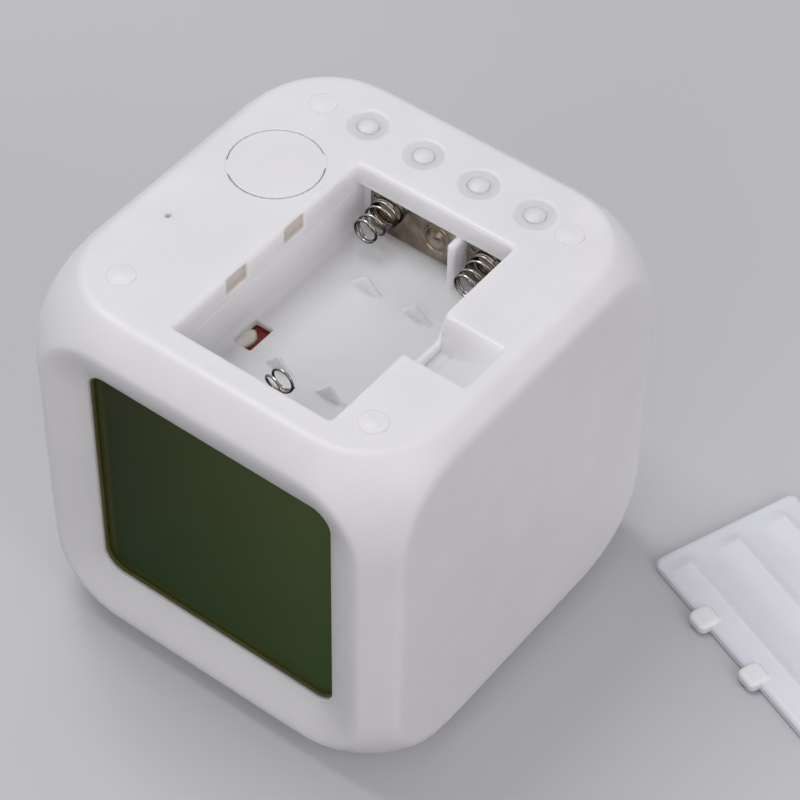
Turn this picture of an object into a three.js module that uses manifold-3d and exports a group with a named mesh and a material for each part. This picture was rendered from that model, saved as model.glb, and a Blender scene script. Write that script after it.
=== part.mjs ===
// Cube desk clock lying on its top with its base facing up and its battery door lifted off beside it.
// Units are millimetres, +Z is up, the display faces -Y and z = 0 is the face the clock lies on.

import * as THREE from 'three';
import Module from 'manifold-3d';

const wasm = await Module();
wasm.setup();

// Case block
const HALF_WIDTH = 39.8;
const FRONT = 41.3;
const REAR = 39.8;
const HEIGHT = 80;
const CORNER_RADIUS = 24;
const CORNER_GROW = 5.4;
const FRONT_GROW = 3.7;
const CREASE_BLEND = 3;
const WALL = 2.2;
const OUTER_ANGLES = [0, 24, 30, 34.5, 38.5, 42, 45];
const INNER_ANGLES = [0, 28, 37, 45];

// Fits
const SEAM = 0.2;
const GAP = 0.3;
const SLIDE_FIT = 0.2;
const SEAT_FIT = 0.1;

// Display frame and window
const FRAME_SIDE = 13.5;
const FRAME_END = 14.3;
const WINDOW_RADIUS = 4;
const DISH_DEPTH = 3.3;
const DISH_RUN = 8.4;
const LIP_THICK = 0.7;

// Base cover
const COVER_RIM = 4;
const COVER_RADIUS = 14;
const COVER_THICK = 2.4;
const LEDGE_WIDTH = 1.6;
const LEDGE_THICK = 2;
const FOOT_SHARE = 1 / 3;
const FOOT_INSET_Y = 8.6;
const FOOT_RADIUS = 2.6;
const FOOT_HEIGHT = 0.6;
const FOOT_STEM_RADIUS = 1.9;
const SEAT_RADIUS = 2.4;
const BOSS_RADIUS = 3.1;
const BOSS_DROP = 3;
const SCREW_SEAT_DEPTH = 3.8;
const POST_RADIUS = 2.8;
const PILOT_DEPTH = 14;
const SOUND_HOLE_INSET = 5.85;
const SOUND_HOLE_Y = -11.5;
const SOUND_HOLE_RADIUS = 0.45;

// Battery compartment, sized round three AAA cells side by side
const CELL_PITCH = 10.9;
const LANE_MID_X = 4.5;
const BAY_X0 = -12.1;
const BAY_X1 = 21.1;
const BAY_Y0 = -30.95;
const BAY_Y1 = 18.6;
const SEAT_DEPTH = 3.8;
const SIDE_LEDGE = 0.3;
const END_LEDGE = 0.25;
const LIP_DEPTH = 0.8;
const CONTACT_SETBACK = 1.4;
const BAY_DEPTH = 14;
const BOX_WALL = 1.5;
const FLOOR_CHAMFER = 1.3;
const CUSP_HALF = 3.3;
const CUSP_HEIGHT = 3.2;
const CUSP_THICK = 1;
const CUSP_Y = [6.2, -17.6];
const DIVIDER_THICK = 1.6;
const DIVIDER_REACH = 2.6;
const NOTCH_LENGTH = 5.4;
const NOTCH_Y = [-14.4, 1];
const NOTCH_TOP = 0.7;
const NOTCH_HEIGHT = 3.2;
const PEEP_X0 = -11.2;
const PEEP_X1 = -7.4;
const PEEP_Y0 = -17.4;
const PEEP_Y1 = -11.1;

// Finger pocket beside the compartment
const POCKET_MARGIN = 1.9;
const POCKET_Y0 = -12.2;
const POCKET_Y1 = -1.3;
const POCKET_DEPTH = 6.6;
const STRIP_DROP = 4.8;
const STRIP_THICK = 1.3;
const POCKET_FLAT = 2.4;

// Battery door, lying on the table with its inner face up
const DOOR_LENGTH = 49.2;
const DOOR_WIDTH = 32.8;
const DOOR_THICK = 1.8;
const DOOR_RADIUS = 1.8;
const DOOR_EDGE_ROUND = 0.4;
const DOOR_X = 46.9;
const DOOR_Y = 33.1;
const DOOR_LIFT = 0.12;
const DOOR_TURN = -21;
const RIB_HEIGHT = 0.6;
const RIB_HALF = 1.7;
const RIB_MARGIN = 2.4;
const TAB_WIDTH = 4.6;
const TAB_REACH = 2.1;
const TAB_RISE = 1.5;
const TAB_GUSSET = 2.6;
const LATCH_WIDTH = 8.6;
const LATCH_LEG = 4.7;

// Keys and light disc
const KEY_X = [-17, -4.75, 7.25, 19.25];
const KEY_INSET = 8.2;
const KEY_RADIUS = 1.95;
const KEY_RISE = 0.35;
const KEY_FLANGE_RADIUS = 3;
const KEY_FLANGE_THICK = 0.8;
const KEY_TRAVEL = 0.8;
const RING_RADIUS = 3.6;
const RING_DEPTH = 0.5;
const DISC_MARGIN_OUT = 3.7;
const DISC_MARGIN_IN = 2.9;
const DISC_SPACING = 17.75;
const DISC_SLOT = 0.35;
const DISC_THICK = 2;
const DISC_TRAVEL = 0.5;
const BRIDGE_ANGLE = 43;
const BRIDGE_WIDTH = 3.4;
const BRIDGE_GAP = 0.08;

// Circuit boards and switches
const SWITCH_SIDE = 6;
const SWITCH_BODY = 3.3;
const PLUNGER_RADIUS = 1.6;
const PLUNGER_HEIGHT = 0.6;
const BOARD_THICK = 1.6;
const KEY_BOARD_CLEAR = 1.6;
const KEY_BOARD_REACH = 4.8;
const WING_REACH = 6.25;
const WING_OVERLAP = 6.55;
const LIGHT_BOARD_DROP = 0.3;
const GLUE_HALF_X = 1.2;
const GLUE_HALF_Y = 2.8;
const GLUE_HEIGHT = 1.4;
const LIGHT_SCREW_X = 19;
const LIGHT_SCREW_Y = [-20, 10];
const LED_RADIUS = 2.5;
const LED_LENGTH = 8.6;
const LED_X = [-8, 2, 12];
const LED_Y = -6;

// Display stack behind the window
const GASKET_THICK = 0.5;
const GASKET_SHOW = 0.22;
const GLASS_LAP_SIDE = 1.9;
const GLASS_LAP_END = 2.3;
const GLASS_THICK = 1;
const GLASS_STEP = 4.5;
const BACKLIGHT_THICK = 0.7;
const HOLDER_BAR = 3.8;
const HOLDER_THICK = 3;
const HOLDER_RADIUS = 8;
const HOLDER_SCREW_INSET = 1;
const HOLDER_BITE = 1.6;
const RAIL_HEIGHT = 1.8;
const RAIL_INSET = 4;
const PANEL_BOARD_THICK = 1.2;
const PANEL_BOARD_DROP = 4.1;

// Battery contacts
const PLATE_THICK = 0.4;
const PLATE_MARGIN = 0.5;
const DOME_RADIUS = 2.3;
const DOME_HEIGHT = 1.2;
const CELL_AXIS_DROP = 8.6;
const TAIL_WIDTH = 2.4;
const TAIL_DROP = 3.2;
const SPRING_BASE_RADIUS = 3;
const SPRING_TIP_RADIUS = 2.3;
const REAR_SPRING_LENGTH = 6.4;
const FRONT_SPRING_LENGTH = 8.9;
const SPRING_TURNS = 4.6;
const SPRING_WIRE = 0.55;
const SPRING_STEPS = 8;
const SPRING_SIDES = 5;

// Screws and wiring
const SCREW_HEAD_RADIUS = 2;
const SCREW_HEAD = 1.5;
const SCREW_SHANK_RADIUS = 1;
const SCREW_CLEARANCE = 0.25;
const SMALL_HEAD_RADIUS = 1.7;
const SMALL_HEAD = 1.1;
const SMALL_SHANK_RADIUS = 0.85;
const WIRE_RADIUS = 0.6;
const RIBBON_WIDTH = 5;
const RIBBON_THICK = 0.6;
const RIBBON_RISE = 8;
const RIBBON_RUN = 12;
const RIBBON_BELOW = 20.4;
const RIBBON_LAP = 10;
const CHIP_RADIUS = 7;
const CHIP_HEIGHT = 2;
const CRYSTAL_RADIUS = 1.45;
const CRYSTAL_LENGTH = 8;
const SOUNDER_RADIUS = 7;
const SOUNDER_HEIGHT = 3.8;
const SOUNDER_OFFSET = 4.4;
const ZEBRA_WIDTH = 2.4;
const ZEBRA_INSET = 2;
const ZEBRA_RISE = 0.8;

// Levels that follow from the sizes above
const DISPLAY_Z = HEIGHT / 2;
const WINDOW_HALF_W = HALF_WIDTH - FRAME_SIDE;
const WINDOW_HALF_H = HEIGHT / 2 - FRAME_END;
const GLASS_HALF_W = WINDOW_HALF_W + GLASS_LAP_SIDE;
const GLASS_HALF_H = WINDOW_HALF_H + GLASS_LAP_END;
const HOLDER_SCREW_RISE = GLASS_HALF_H - HOLDER_SCREW_INSET;
const COVER_HALF_X = HALF_WIDTH - COVER_RIM;
const COVER_HALF_Y = REAR - COVER_RIM;
const POCKET_X1 = COVER_HALF_X - POCKET_MARGIN;
const BOX_X1 = BAY_X1 - SIDE_LEDGE + BOX_WALL;
const FOOT_X = BOX_X1 + (COVER_HALF_X - BOX_X1) * FOOT_SHARE;
const FOOT_Y = COVER_HALF_Y - FOOT_INSET_Y;
const KEY_Y = COVER_HALF_Y - KEY_INSET;
const DISC_RADIUS = (COVER_HALF_X + BAY_X0 - DISC_MARGIN_OUT - DISC_MARGIN_IN) / 2;
const DISC_X = DISC_MARGIN_OUT + DISC_RADIUS - COVER_HALF_X;
const DISC_Y = KEY_Y - DISC_SPACING;
const SOUND_HOLE_X = SOUND_HOLE_INSET - COVER_HALF_X;
const COVER_UNDER = HEIGHT - COVER_THICK;
const SEAT_Z = HEIGHT - SEAT_DEPTH;
const LIP_Z = SEAT_Z - LIP_DEPTH;
const FLOOR_Z = HEIGHT - BAY_DEPTH;
const BOX_UNDER = FLOOR_Z - BOX_WALL;
const CELL_Z = HEIGHT - CELL_AXIS_DROP;
const INNER_X0 = BAY_X0 + SIDE_LEDGE;
const INNER_X1 = BAY_X1 - SIDE_LEDGE;
const CONTACT_Y0 = BAY_Y0 - CONTACT_SETBACK;
const CONTACT_Y1 = BAY_Y1 + CONTACT_SETBACK;
const LANE_X = [LANE_MID_X - CELL_PITCH, LANE_MID_X, LANE_MID_X + CELL_PITCH];
const DIVIDE_X = [LANE_MID_X - CELL_PITCH / 2, LANE_MID_X + CELL_PITCH / 2];
const WINDOW_Y = -FRONT + DISH_DEPTH;
const STACK_Y = WINDOW_Y + LIP_THICK;
const GASKET_Y = STACK_Y + SEAT_FIT;
const GLASS_Y = GASKET_Y + GASKET_THICK + SEAT_FIT;
const REAR_GLASS_Y = GLASS_Y + GLASS_THICK + SEAT_FIT;
const BACKLIGHT_Y = REAR_GLASS_Y + GLASS_THICK + SEAT_FIT;
const HOLDER_Y1 = GASKET_Y + HOLDER_THICK;
const PANEL_BOARD_Y = HOLDER_Y1 + RAIL_HEIGHT + SEAT_FIT;
const PANEL_BOARD_BACK = PANEL_BOARD_Y + PANEL_BOARD_THICK;
const PANEL_BOARD_TOP = BOX_UNDER - PANEL_BOARD_DROP;
const RIBBON_END_Z = PANEL_BOARD_TOP - RIBBON_BELOW;
const RAIL_Z0 = DISPLAY_Z - GLASS_HALF_H + RAIL_INSET;
const RAIL_Z1 = PANEL_BOARD_TOP - 0.4;
const KEY_UNDER = COVER_UNDER - GAP - KEY_FLANGE_THICK;
const PLUNGER_TOP = KEY_UNDER - KEY_TRAVEL - SEAT_FIT;
const KEY_BOARD_Z1 = PLUNGER_TOP - PLUNGER_HEIGHT - SWITCH_BODY - SEAT_FIT;
const KEY_BOARD_Z0 = KEY_BOARD_Z1 - BOARD_THICK;
const KEY_BOARD_HALF = FOOT_X - POST_RADIUS - KEY_BOARD_CLEAR;
const KEY_SCREW_X = [(KEY_X[0] + KEY_X[1]) / 2, (KEY_X[2] + KEY_X[3]) / 2];
const KEY_BOARD_Y0 = KEY_Y - KEY_BOARD_REACH;
const KEY_BOARD_Y1 = KEY_Y + KEY_BOARD_REACH;
const KEY_WING_X0 = DISC_X - WING_REACH - 0.2;
const KEY_WING_X1 = DISC_X + WING_OVERLAP;
const KEY_WING_Y0 = DISC_Y - WING_REACH;
const DISC_PIN_Z = PLUNGER_TOP + DISC_TRAVEL + SEAT_FIT;
const LIGHT_BOARD_Z1 = BOX_UNDER - LIGHT_BOARD_DROP - SEAT_FIT;
const LIGHT_BOARD_Z0 = LIGHT_BOARD_Z1 - BOARD_THICK;
const SCREW_SEAT_Z = HEIGHT - SCREW_SEAT_DEPTH;
const BOSS_UNDER = COVER_UNDER - BOSS_DROP;
const POST_TOP = BOSS_UNDER - SEAT_FIT;

const clock = new THREE.Group();
clock.name = 'cube_clock';

// Turn a three.js geometry into a solid for cutting and joining
function solid(geometry) {
  const plain = geometry.index ? geometry.toNonIndexed() : geometry;
  const source = plain.attributes.position;
  const seen = new Map();
  const points = [];
  const corner = [];
  for (let i = 0; i < source.count; i += 1) {
    const p = [source.getX(i), source.getY(i), source.getZ(i)];
    const key = p.map((c) => Math.round(c * 2e4)).join(' ');
    if (!seen.has(key)) {
      seen.set(key, points.length / 3);
      points.push(...p);
    }
    corner.push(seen.get(key));
  }
  const triangles = [];
  let volume = 0;
  for (let i = 0; i < corner.length; i += 3) {
    const [a, b, c] = [corner[i], corner[i + 1], corner[i + 2]];
    if (a === b || b === c || c === a) continue;
    triangles.push(a, b, c);
    const va = new THREE.Vector3().fromArray(points, a * 3);
    const vb = new THREE.Vector3().fromArray(points, b * 3);
    const vc = new THREE.Vector3().fromArray(points, c * 3);
    volume += va.dot(vb.cross(vc));
  }
  if (volume < 0) triangles.reverse();
  return new wasm.Manifold(new wasm.Mesh({
    numProp: 3,
    vertProperties: new Float32Array(points),
    triVerts: new Uint32Array(triangles),
  }));
}

function join(...parts) {
  return parts.reduce((whole, part) => whole.add(part));
}

function cut(body, ...tools) {
  return tools.reduce((rest, tool) => rest.subtract(tool), body);
}

function box(x0, x1, y0, y1, z0, z1) {
  const geometry = new THREE.BoxGeometry(x1 - x0, y1 - y0, z1 - z0);
  geometry.translate((x0 + x1) / 2, (y0 + y1) / 2, (z0 + z1) / 2);
  return solid(geometry);
}

function rod(x, y, z0, z1, radius, sides = 24) {
  const geometry = new THREE.CylinderGeometry(radius, radius, z1 - z0, sides);
  geometry.rotateX(Math.PI / 2);
  geometry.translate(x, y, (z0 + z1) / 2);
  return solid(geometry);
}

// A rod lying along Y
function rodY(x, z, y0, y1, radius, sides = 20) {
  const geometry = new THREE.CylinderGeometry(radius, radius, y1 - y0, sides);
  geometry.translate(x, (y0 + y1) / 2, z);
  return solid(geometry);
}

// A turned shape standing at x, y; the profile lists radius and height pairs from the axis and back
function turned(x, y, z, profile, sides = 24) {
  const points = profile.map(([r, h]) => new THREE.Vector2(r, h));
  const geometry = new THREE.LatheGeometry(points, sides);
  geometry.rotateX(Math.PI / 2);
  geometry.translate(x, y, z);
  return solid(geometry);
}

function roundedRect(halfW, halfH, radius) {
  const shape = new THREE.Shape();
  const w = halfW - radius;
  const h = halfH - radius;
  shape.moveTo(-w, -halfH);
  shape.lineTo(w, -halfH);
  shape.absarc(w, -h, radius, -Math.PI / 2, 0, false);
  shape.lineTo(halfW, h);
  shape.absarc(w, h, radius, 0, Math.PI / 2, false);
  shape.lineTo(-w, halfH);
  shape.absarc(-w, h, radius, Math.PI / 2, Math.PI, false);
  shape.lineTo(-halfW, -h);
  shape.absarc(-w, -h, radius, Math.PI, 1.5 * Math.PI, false);
  return shape;
}

function outline(points) {
  return new THREE.Shape(points.map(([a, b]) => new THREE.Vector2(a, b)));
}

// A plate standing up from z0 to z1
function plate(shape, z0, z1, x = 0, y = 0, segments = 8) {
  const geometry = new THREE.ExtrudeGeometry(shape, {
    depth: z1 - z0, bevelEnabled: false, curveSegments: segments,
  });
  geometry.translate(x, y, z0);
  return solid(geometry);
}

// A plate drawn in x and z, running from y0 to y1
function wallPlate(shape, y0, y1, x = 0, z = 0, segments = 8) {
  const geometry = new THREE.ExtrudeGeometry(shape, {
    depth: y1 - y0, bevelEnabled: false, curveSegments: segments,
  });
  geometry.rotateX(Math.PI / 2);
  geometry.translate(x, y1, z);
  return solid(geometry);
}

function swept(curve, shape, steps) {
  return solid(new THREE.ExtrudeGeometry(shape, { steps, extrudePath: curve, bevelEnabled: false }));
}

function roundWire(radius, sides) {
  const ring = [];
  for (let i = 0; i < sides; i += 1) {
    const a = (2 * Math.PI * i) / sides;
    ring.push([radius * Math.cos(a), radius * Math.sin(a)]);
  }
  return outline(ring);
}

function addPiece(name, body, colour, roughness, metalness = 0) {
  const mesh = body.getMesh();
  const geometry = new THREE.BufferGeometry();
  const points = [];
  for (let i = 0; i < mesh.vertProperties.length; i += mesh.numProp) {
    points.push(mesh.vertProperties[i], mesh.vertProperties[i + 1], mesh.vertProperties[i + 2]);
  }
  geometry.setAttribute('position', new THREE.Float32BufferAttribute(points, 3));
  geometry.setIndex(Array.from(mesh.triVerts));
  geometry.computeVertexNormals();
  const material = new THREE.MeshStandardMaterial({ color: colour, roughness, metalness });
  const piece = new THREE.Mesh(geometry, material);
  piece.name = name;
  clock.add(piece);
}

// Distance to a block with round edges that stands a little outside the flat faces
function blockDistance(p, inset) {
  const low = [-HALF_WIDTH - CORNER_GROW, -FRONT - FRONT_GROW, -CORNER_GROW];
  const high = [HALF_WIDTH + CORNER_GROW, REAR + CORNER_GROW, HEIGHT + CORNER_GROW];
  const q = [0, 1, 2].map((i) => {
    const middle = (low[i] + high[i]) / 2;
    return Math.abs(p[i] - middle) - (high[i] - low[i]) / 2 + CORNER_RADIUS;
  });
  const outside = Math.hypot(...q.map((c) => Math.max(c, 0)));
  return outside + Math.min(Math.max(...q), 0) - CORNER_RADIUS + inset;
}

function faceDistance(p, faces) {
  return Math.max(
    Math.abs(p[0]) - faces.side,
    -p[1] - faces.front,
    p[1] - faces.rear,
    faces.low - p[2],
    p[2] - faces.high,
  );
}

function blendMax(a, b) {
  const h = Math.max(CREASE_BLEND - Math.abs(a - b), 0) / CREASE_BLEND;
  return Math.max(a, b) + (h * h * CREASE_BLEND) / 4;
}

// The case block: flat faces meeting a round-edged block along soft creases
function caseBlock(faces, inset, angles) {
  const fan = angles.length - 1;
  const count = 2 * fan + 1;
  const geometry = new THREE.BoxGeometry(2, 2, 2, count, count, count);
  const position = geometry.attributes.position;
  const normal = geometry.attributes.normal;
  const low = [-HALF_WIDTH - CORNER_GROW, -FRONT - FRONT_GROW, -CORNER_GROW];
  const high = [HALF_WIDTH + CORNER_GROW, REAR + CORNER_GROW, HEIGHT + CORNER_GROW];
  for (let i = 0; i < position.count; i += 1) {
    const spot = [position.getX(i), position.getY(i), position.getZ(i)];
    const face = [normal.getX(i), normal.getY(i), normal.getZ(i)];
    const start = [];
    const aim = [];
    for (let k = 0; k < 3; k += 1) {
      const line = Math.round(((spot[k] + 1) / 2) * count);
      const side = line <= fan ? -1 : 1;
      const angle = line <= fan ? angles[fan - line] : angles[line - fan - 1];
      start.push(side > 0 ? high[k] - CORNER_RADIUS : low[k] + CORNER_RADIUS);
      aim.push(Math.abs(face[k]) > 0.5 ? Math.sign(face[k]) : side * Math.tan((angle * Math.PI) / 180));
    }
    const length = Math.hypot(...aim);
    let near = 0;
    let far = 3 * CORNER_RADIUS;
    for (let step = 0; step < 40; step += 1) {
      const mid = (near + far) / 2;
      const p = start.map((c, k) => c + (aim[k] / length) * mid);
      if (blendMax(blockDistance(p, inset), faceDistance(p, faces)) < 0) near = mid;
      else far = mid;
    }
    position.setXYZ(i, ...start.map((c, k) => c + (aim[k] / length) * near));
  }
  return solid(geometry);
}

const outerFaces = { side: HALF_WIDTH, front: FRONT, rear: REAR, low: 0, high: HEIGHT };
const innerFaces = {
  side: HALF_WIDTH - WALL,
  front: -STACK_Y,
  rear: REAR - WALL,
  low: WALL,
  high: COVER_UNDER - LEDGE_THICK,
};
const block = caseBlock(outerFaces, 0, OUTER_ANGLES);
const footSpots = [
  ['front_left', -FOOT_X, -FOOT_Y],
  ['front_right', FOOT_X, -FOOT_Y],
  ['rear_left', -FOOT_X, FOOT_Y],
  ['rear_right', FOOT_X, FOOT_Y],
];
const holderX = GLASS_HALF_W + GAP + HOLDER_BAR / 2;
const holderW = GLASS_HALF_W + GAP + HOLDER_BAR;
const holderH = GLASS_HALF_H + GAP + HOLDER_BAR;
const holderSpots = [
  ['low_left', -holderX, DISPLAY_Z - HOLDER_SCREW_RISE],
  ['low_right', holderX, DISPLAY_Z - HOLDER_SCREW_RISE],
  ['high_left', -holderX, DISPLAY_Z + HOLDER_SCREW_RISE],
  ['high_right', holderX, DISPLAY_Z + HOLDER_SCREW_RISE],
];

// Shell: the five-sided case with the dished display frame and the posts that take the base screws
function frontDish() {
  const geometry = new THREE.ExtrudeGeometry(roundedRect(WINDOW_HALF_W, WINDOW_HALF_H, WINDOW_RADIUS), {
    depth: 4,
    curveSegments: 7,
    bevelEnabled: true,
    bevelThickness: DISH_DEPTH,
    bevelSize: DISH_RUN,
    bevelSegments: 1,
  });
  geometry.rotateX(Math.PI / 2);
  geometry.translate(0, WINDOW_Y - DISH_DEPTH, DISPLAY_Z);
  return solid(geometry);
}

let shell = cut(
  block,
  caseBlock(innerFaces, WALL, INNER_ANGLES),
  plate(
    roundedRect(COVER_HALF_X + SEAM, COVER_HALF_Y + SEAM, COVER_RADIUS + SEAM),
    COVER_UNDER - SEAT_FIT,
    HEIGHT + 2,
  ),
  plate(
    roundedRect(COVER_HALF_X - LEDGE_WIDTH, COVER_HALF_Y - LEDGE_WIDTH, COVER_RADIUS - LEDGE_WIDTH),
    COVER_UNDER - 2 * LEDGE_THICK,
    COVER_UNDER + 1,
  ),
  frontDish(),
  wallPlate(
    roundedRect(WINDOW_HALF_W, WINDOW_HALF_H, WINDOW_RADIUS),
    WINDOW_Y - 0.2,
    STACK_Y + 1,
    0,
    DISPLAY_Z,
    7,
  ),
);
shell = shell.subtract(wallPlate(
  roundedRect(holderW + GAP, holderH + GAP, HOLDER_RADIUS + GAP), STACK_Y, HOLDER_Y1 + GAP, 0, DISPLAY_Z,
));
for (const [, x, y] of footSpots) {
  shell = shell.add(rod(x, y, WALL / 2, POST_TOP, POST_RADIUS, 20));
  shell = shell.subtract(rod(x, y, POST_TOP - PILOT_DEPTH, POST_TOP + 1, SCREW_SHANK_RADIUS + SEAT_FIT, 12));
}
for (const [, x, z] of holderSpots) {
  shell = shell.subtract(rodY(x, z, STACK_Y - HOLDER_BITE, STACK_Y + 1, SMALL_SHANK_RADIUS + SEAT_FIT, 10));
}
addPiece('shell', shell, 0xdcdbe0, 0.38);

// Base cover: flat plate with the battery box, finger pocket, key rings and screw seats
const boxX0 = INNER_X0 - BOX_WALL;
const boxX1 = BOX_X1;
const boxY0 = CONTACT_Y0 - BOX_WALL;
const boxY1 = CONTACT_Y1 + BOX_WALL;
const stripZ = HEIGHT - STRIP_DROP;
const pocketZ = HEIGHT - POCKET_DEPTH;
const stripX1 = INNER_X1 + STRIP_THICK;
const pocketBody = [
  [INNER_X1, pocketZ - BOX_WALL],
  [stripX1 + POCKET_FLAT + 0.6, pocketZ - BOX_WALL],
  [POCKET_X1 + BOX_WALL, HEIGHT - BOX_WALL],
  [POCKET_X1 + BOX_WALL, HEIGHT - 0.4],
  [INNER_X1, HEIGHT - 0.4],
];
const pocketHollow = [
  [INNER_X1 - 1, HEIGHT + 1],
  [INNER_X1 - 1, stripZ],
  [stripX1, stripZ],
  [stripX1 + 0.4, stripZ - 0.3],
  [stripX1, stripZ - 0.7],
  [stripX1, pocketZ],
  [stripX1 + POCKET_FLAT, pocketZ],
  [POCKET_X1, HEIGHT],
  [POCKET_X1, HEIGHT + 1],
];
const keyBosses = KEY_SCREW_X.map((x) => rod(x, KEY_Y, KEY_BOARD_Z1 + SEAT_FIT, COVER_UNDER + 1, 2.3, 16));
const lightBosses = LIGHT_SCREW_Y.map((y) => rod(
  LIGHT_SCREW_X, y, LIGHT_BOARD_Z1 + SEAT_FIT, BOX_UNDER + 0.5, 2.6, 16,
));
let cover = join(
  plate(roundedRect(COVER_HALF_X, COVER_HALF_Y, COVER_RADIUS), COVER_UNDER, HEIGHT + 1),
  box(boxX0, boxX1, boxY0, boxY1, BOX_UNDER, HEIGHT - 1),
  wallPlate(outline(pocketBody), POCKET_Y0 - BOX_WALL, POCKET_Y1 + BOX_WALL),
  ...footSpots.map(([, x, y]) => rod(x, y, BOSS_UNDER, HEIGHT - 1, BOSS_RADIUS, 20)),
  ...keyBosses,
  ...lightBosses,
);
cover = cover.intersect(block);
const seatY0 = BAY_Y0 + END_LEDGE;
const seatY1 = BAY_Y1 - END_LEDGE;
const bayMidX = (BAY_X0 + BAY_X1) / 2;
const bayMidY = (BAY_Y0 + BAY_Y1) / 2;
cover = cut(
  cover,
  plate(
    roundedRect((BAY_X1 - BAY_X0) / 2, (BAY_Y1 - BAY_Y0) / 2, 0.8),
    SEAT_Z,
    HEIGHT + 1,
    bayMidX,
    bayMidY,
    3,
  ),
  box(INNER_X0, INNER_X1, seatY0, seatY1, LIP_Z - 0.5, SEAT_Z + 0.5),
  box(INNER_X0, INNER_X1, CONTACT_Y0, CONTACT_Y1, FLOOR_Z, LIP_Z),
  box(PEEP_X0, PEEP_X1, PEEP_Y0, PEEP_Y1, BOX_UNDER - 1, FLOOR_Z + 1),
  wallPlate(outline(pocketHollow), POCKET_Y0, POCKET_Y1),
  ...NOTCH_Y.map((y) => box(
    boxX0 - 1,
    BAY_X0 + 1,
    y - NOTCH_LENGTH / 2,
    y + NOTCH_LENGTH / 2,
    HEIGHT - NOTCH_TOP - NOTCH_HEIGHT,
    HEIGHT - NOTCH_TOP,
  )),
  ...KEY_X.flatMap((x) => [
    rod(x, KEY_Y, HEIGHT - RING_DEPTH, HEIGHT + 1, RING_RADIUS, 28),
    rod(x, KEY_Y, COVER_UNDER - 1, HEIGHT + 1, KEY_RADIUS + SLIDE_FIT, 24),
  ]),
  ...footSpots.flatMap(([, x, y]) => [
    rod(x, y, SCREW_SEAT_Z, HEIGHT + 1, SEAT_RADIUS, 20),
    rod(x, y, BOSS_UNDER - 1, HEIGHT, SCREW_SHANK_RADIUS + SCREW_CLEARANCE, 12),
  ]),
  ...KEY_SCREW_X.map((x) => rod(x, KEY_Y, KEY_BOARD_Z1 - 1, COVER_UNDER, SMALL_SHANK_RADIUS + SEAT_FIT, 10)),
  ...LIGHT_SCREW_Y.map((y) => rod(
    LIGHT_SCREW_X, y, LIGHT_BOARD_Z1 - 1, BOX_UNDER + 0.4, SMALL_SHANK_RADIUS + SEAT_FIT, 10,
  )),
  rod(DISC_X, DISC_Y, COVER_UNDER - 1, HEIGHT + 1, DISC_RADIUS + DISC_SLOT, 56),
  rod(SOUND_HOLE_X, SOUND_HOLE_Y, COVER_UNDER - 1, HEIGHT + 1, SOUND_HOLE_RADIUS, 10),
);
const cusp = [
  [-CUSP_HALF, -0.5],
  [CUSP_HALF, -0.5],
  [CUSP_HALF, 0],
  [CUSP_HALF * 0.46, CUSP_HEIGHT * 0.32],
  [0.35, CUSP_HEIGHT],
  [-0.35, CUSP_HEIGHT],
  [-CUSP_HALF * 0.46, CUSP_HEIGHT * 0.32],
  [-CUSP_HALF, 0],
];
const chamfer = [
  [INNER_X0 - 0.5, FLOOR_Z - 0.5],
  [INNER_X0 + FLOOR_CHAMFER, FLOOR_Z - 0.5],
  [INNER_X0 + FLOOR_CHAMFER, FLOOR_Z],
  [INNER_X0, FLOOR_Z + FLOOR_CHAMFER],
  [INNER_X0 - 0.5, FLOOR_Z + FLOOR_CHAMFER],
];
const dividerHalf = DIVIDER_THICK / 2;
const tailHole = TAIL_WIDTH / 2 + GAP;
function dividerPost(x, y0, y1) {
  return box(x - dividerHalf, x + dividerHalf, y0, y1, FLOOR_Z - 0.5, LIP_Z + 0.2);
}
function tailSlot(x, y0, y1) {
  return box(x - tailHole, x + tailHole, y0, y1, BOX_UNDER - 1, FLOOR_Z + 1);
}
cover = join(
  cover,
  ...DIVIDE_X.flatMap((x) => CUSP_Y.map((y) => wallPlate(
    outline(cusp), y - CUSP_THICK / 2, y + CUSP_THICK / 2, x, FLOOR_Z,
  ))),
  wallPlate(outline(chamfer), CONTACT_Y0 - 0.5, PEEP_Y0),
  wallPlate(outline(chamfer), PEEP_Y1, CONTACT_Y1 + 0.5),
  dividerPost(DIVIDE_X[1], seatY1 - DIVIDER_REACH, CONTACT_Y1 + 0.5),
  dividerPost(DIVIDE_X[0], CONTACT_Y0 - 0.5, seatY0 + DIVIDER_REACH),
);
cover = cut(
  cover,
  tailSlot(LANE_X[2], CONTACT_Y1 - PLATE_THICK - 2 * GAP, CONTACT_Y1),
  tailSlot(LANE_X[0], CONTACT_Y0, CONTACT_Y0 + PLATE_THICK + 2 * GAP),
);
addPiece('base_cover', cover, 0xdedde2, 0.38);

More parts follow.
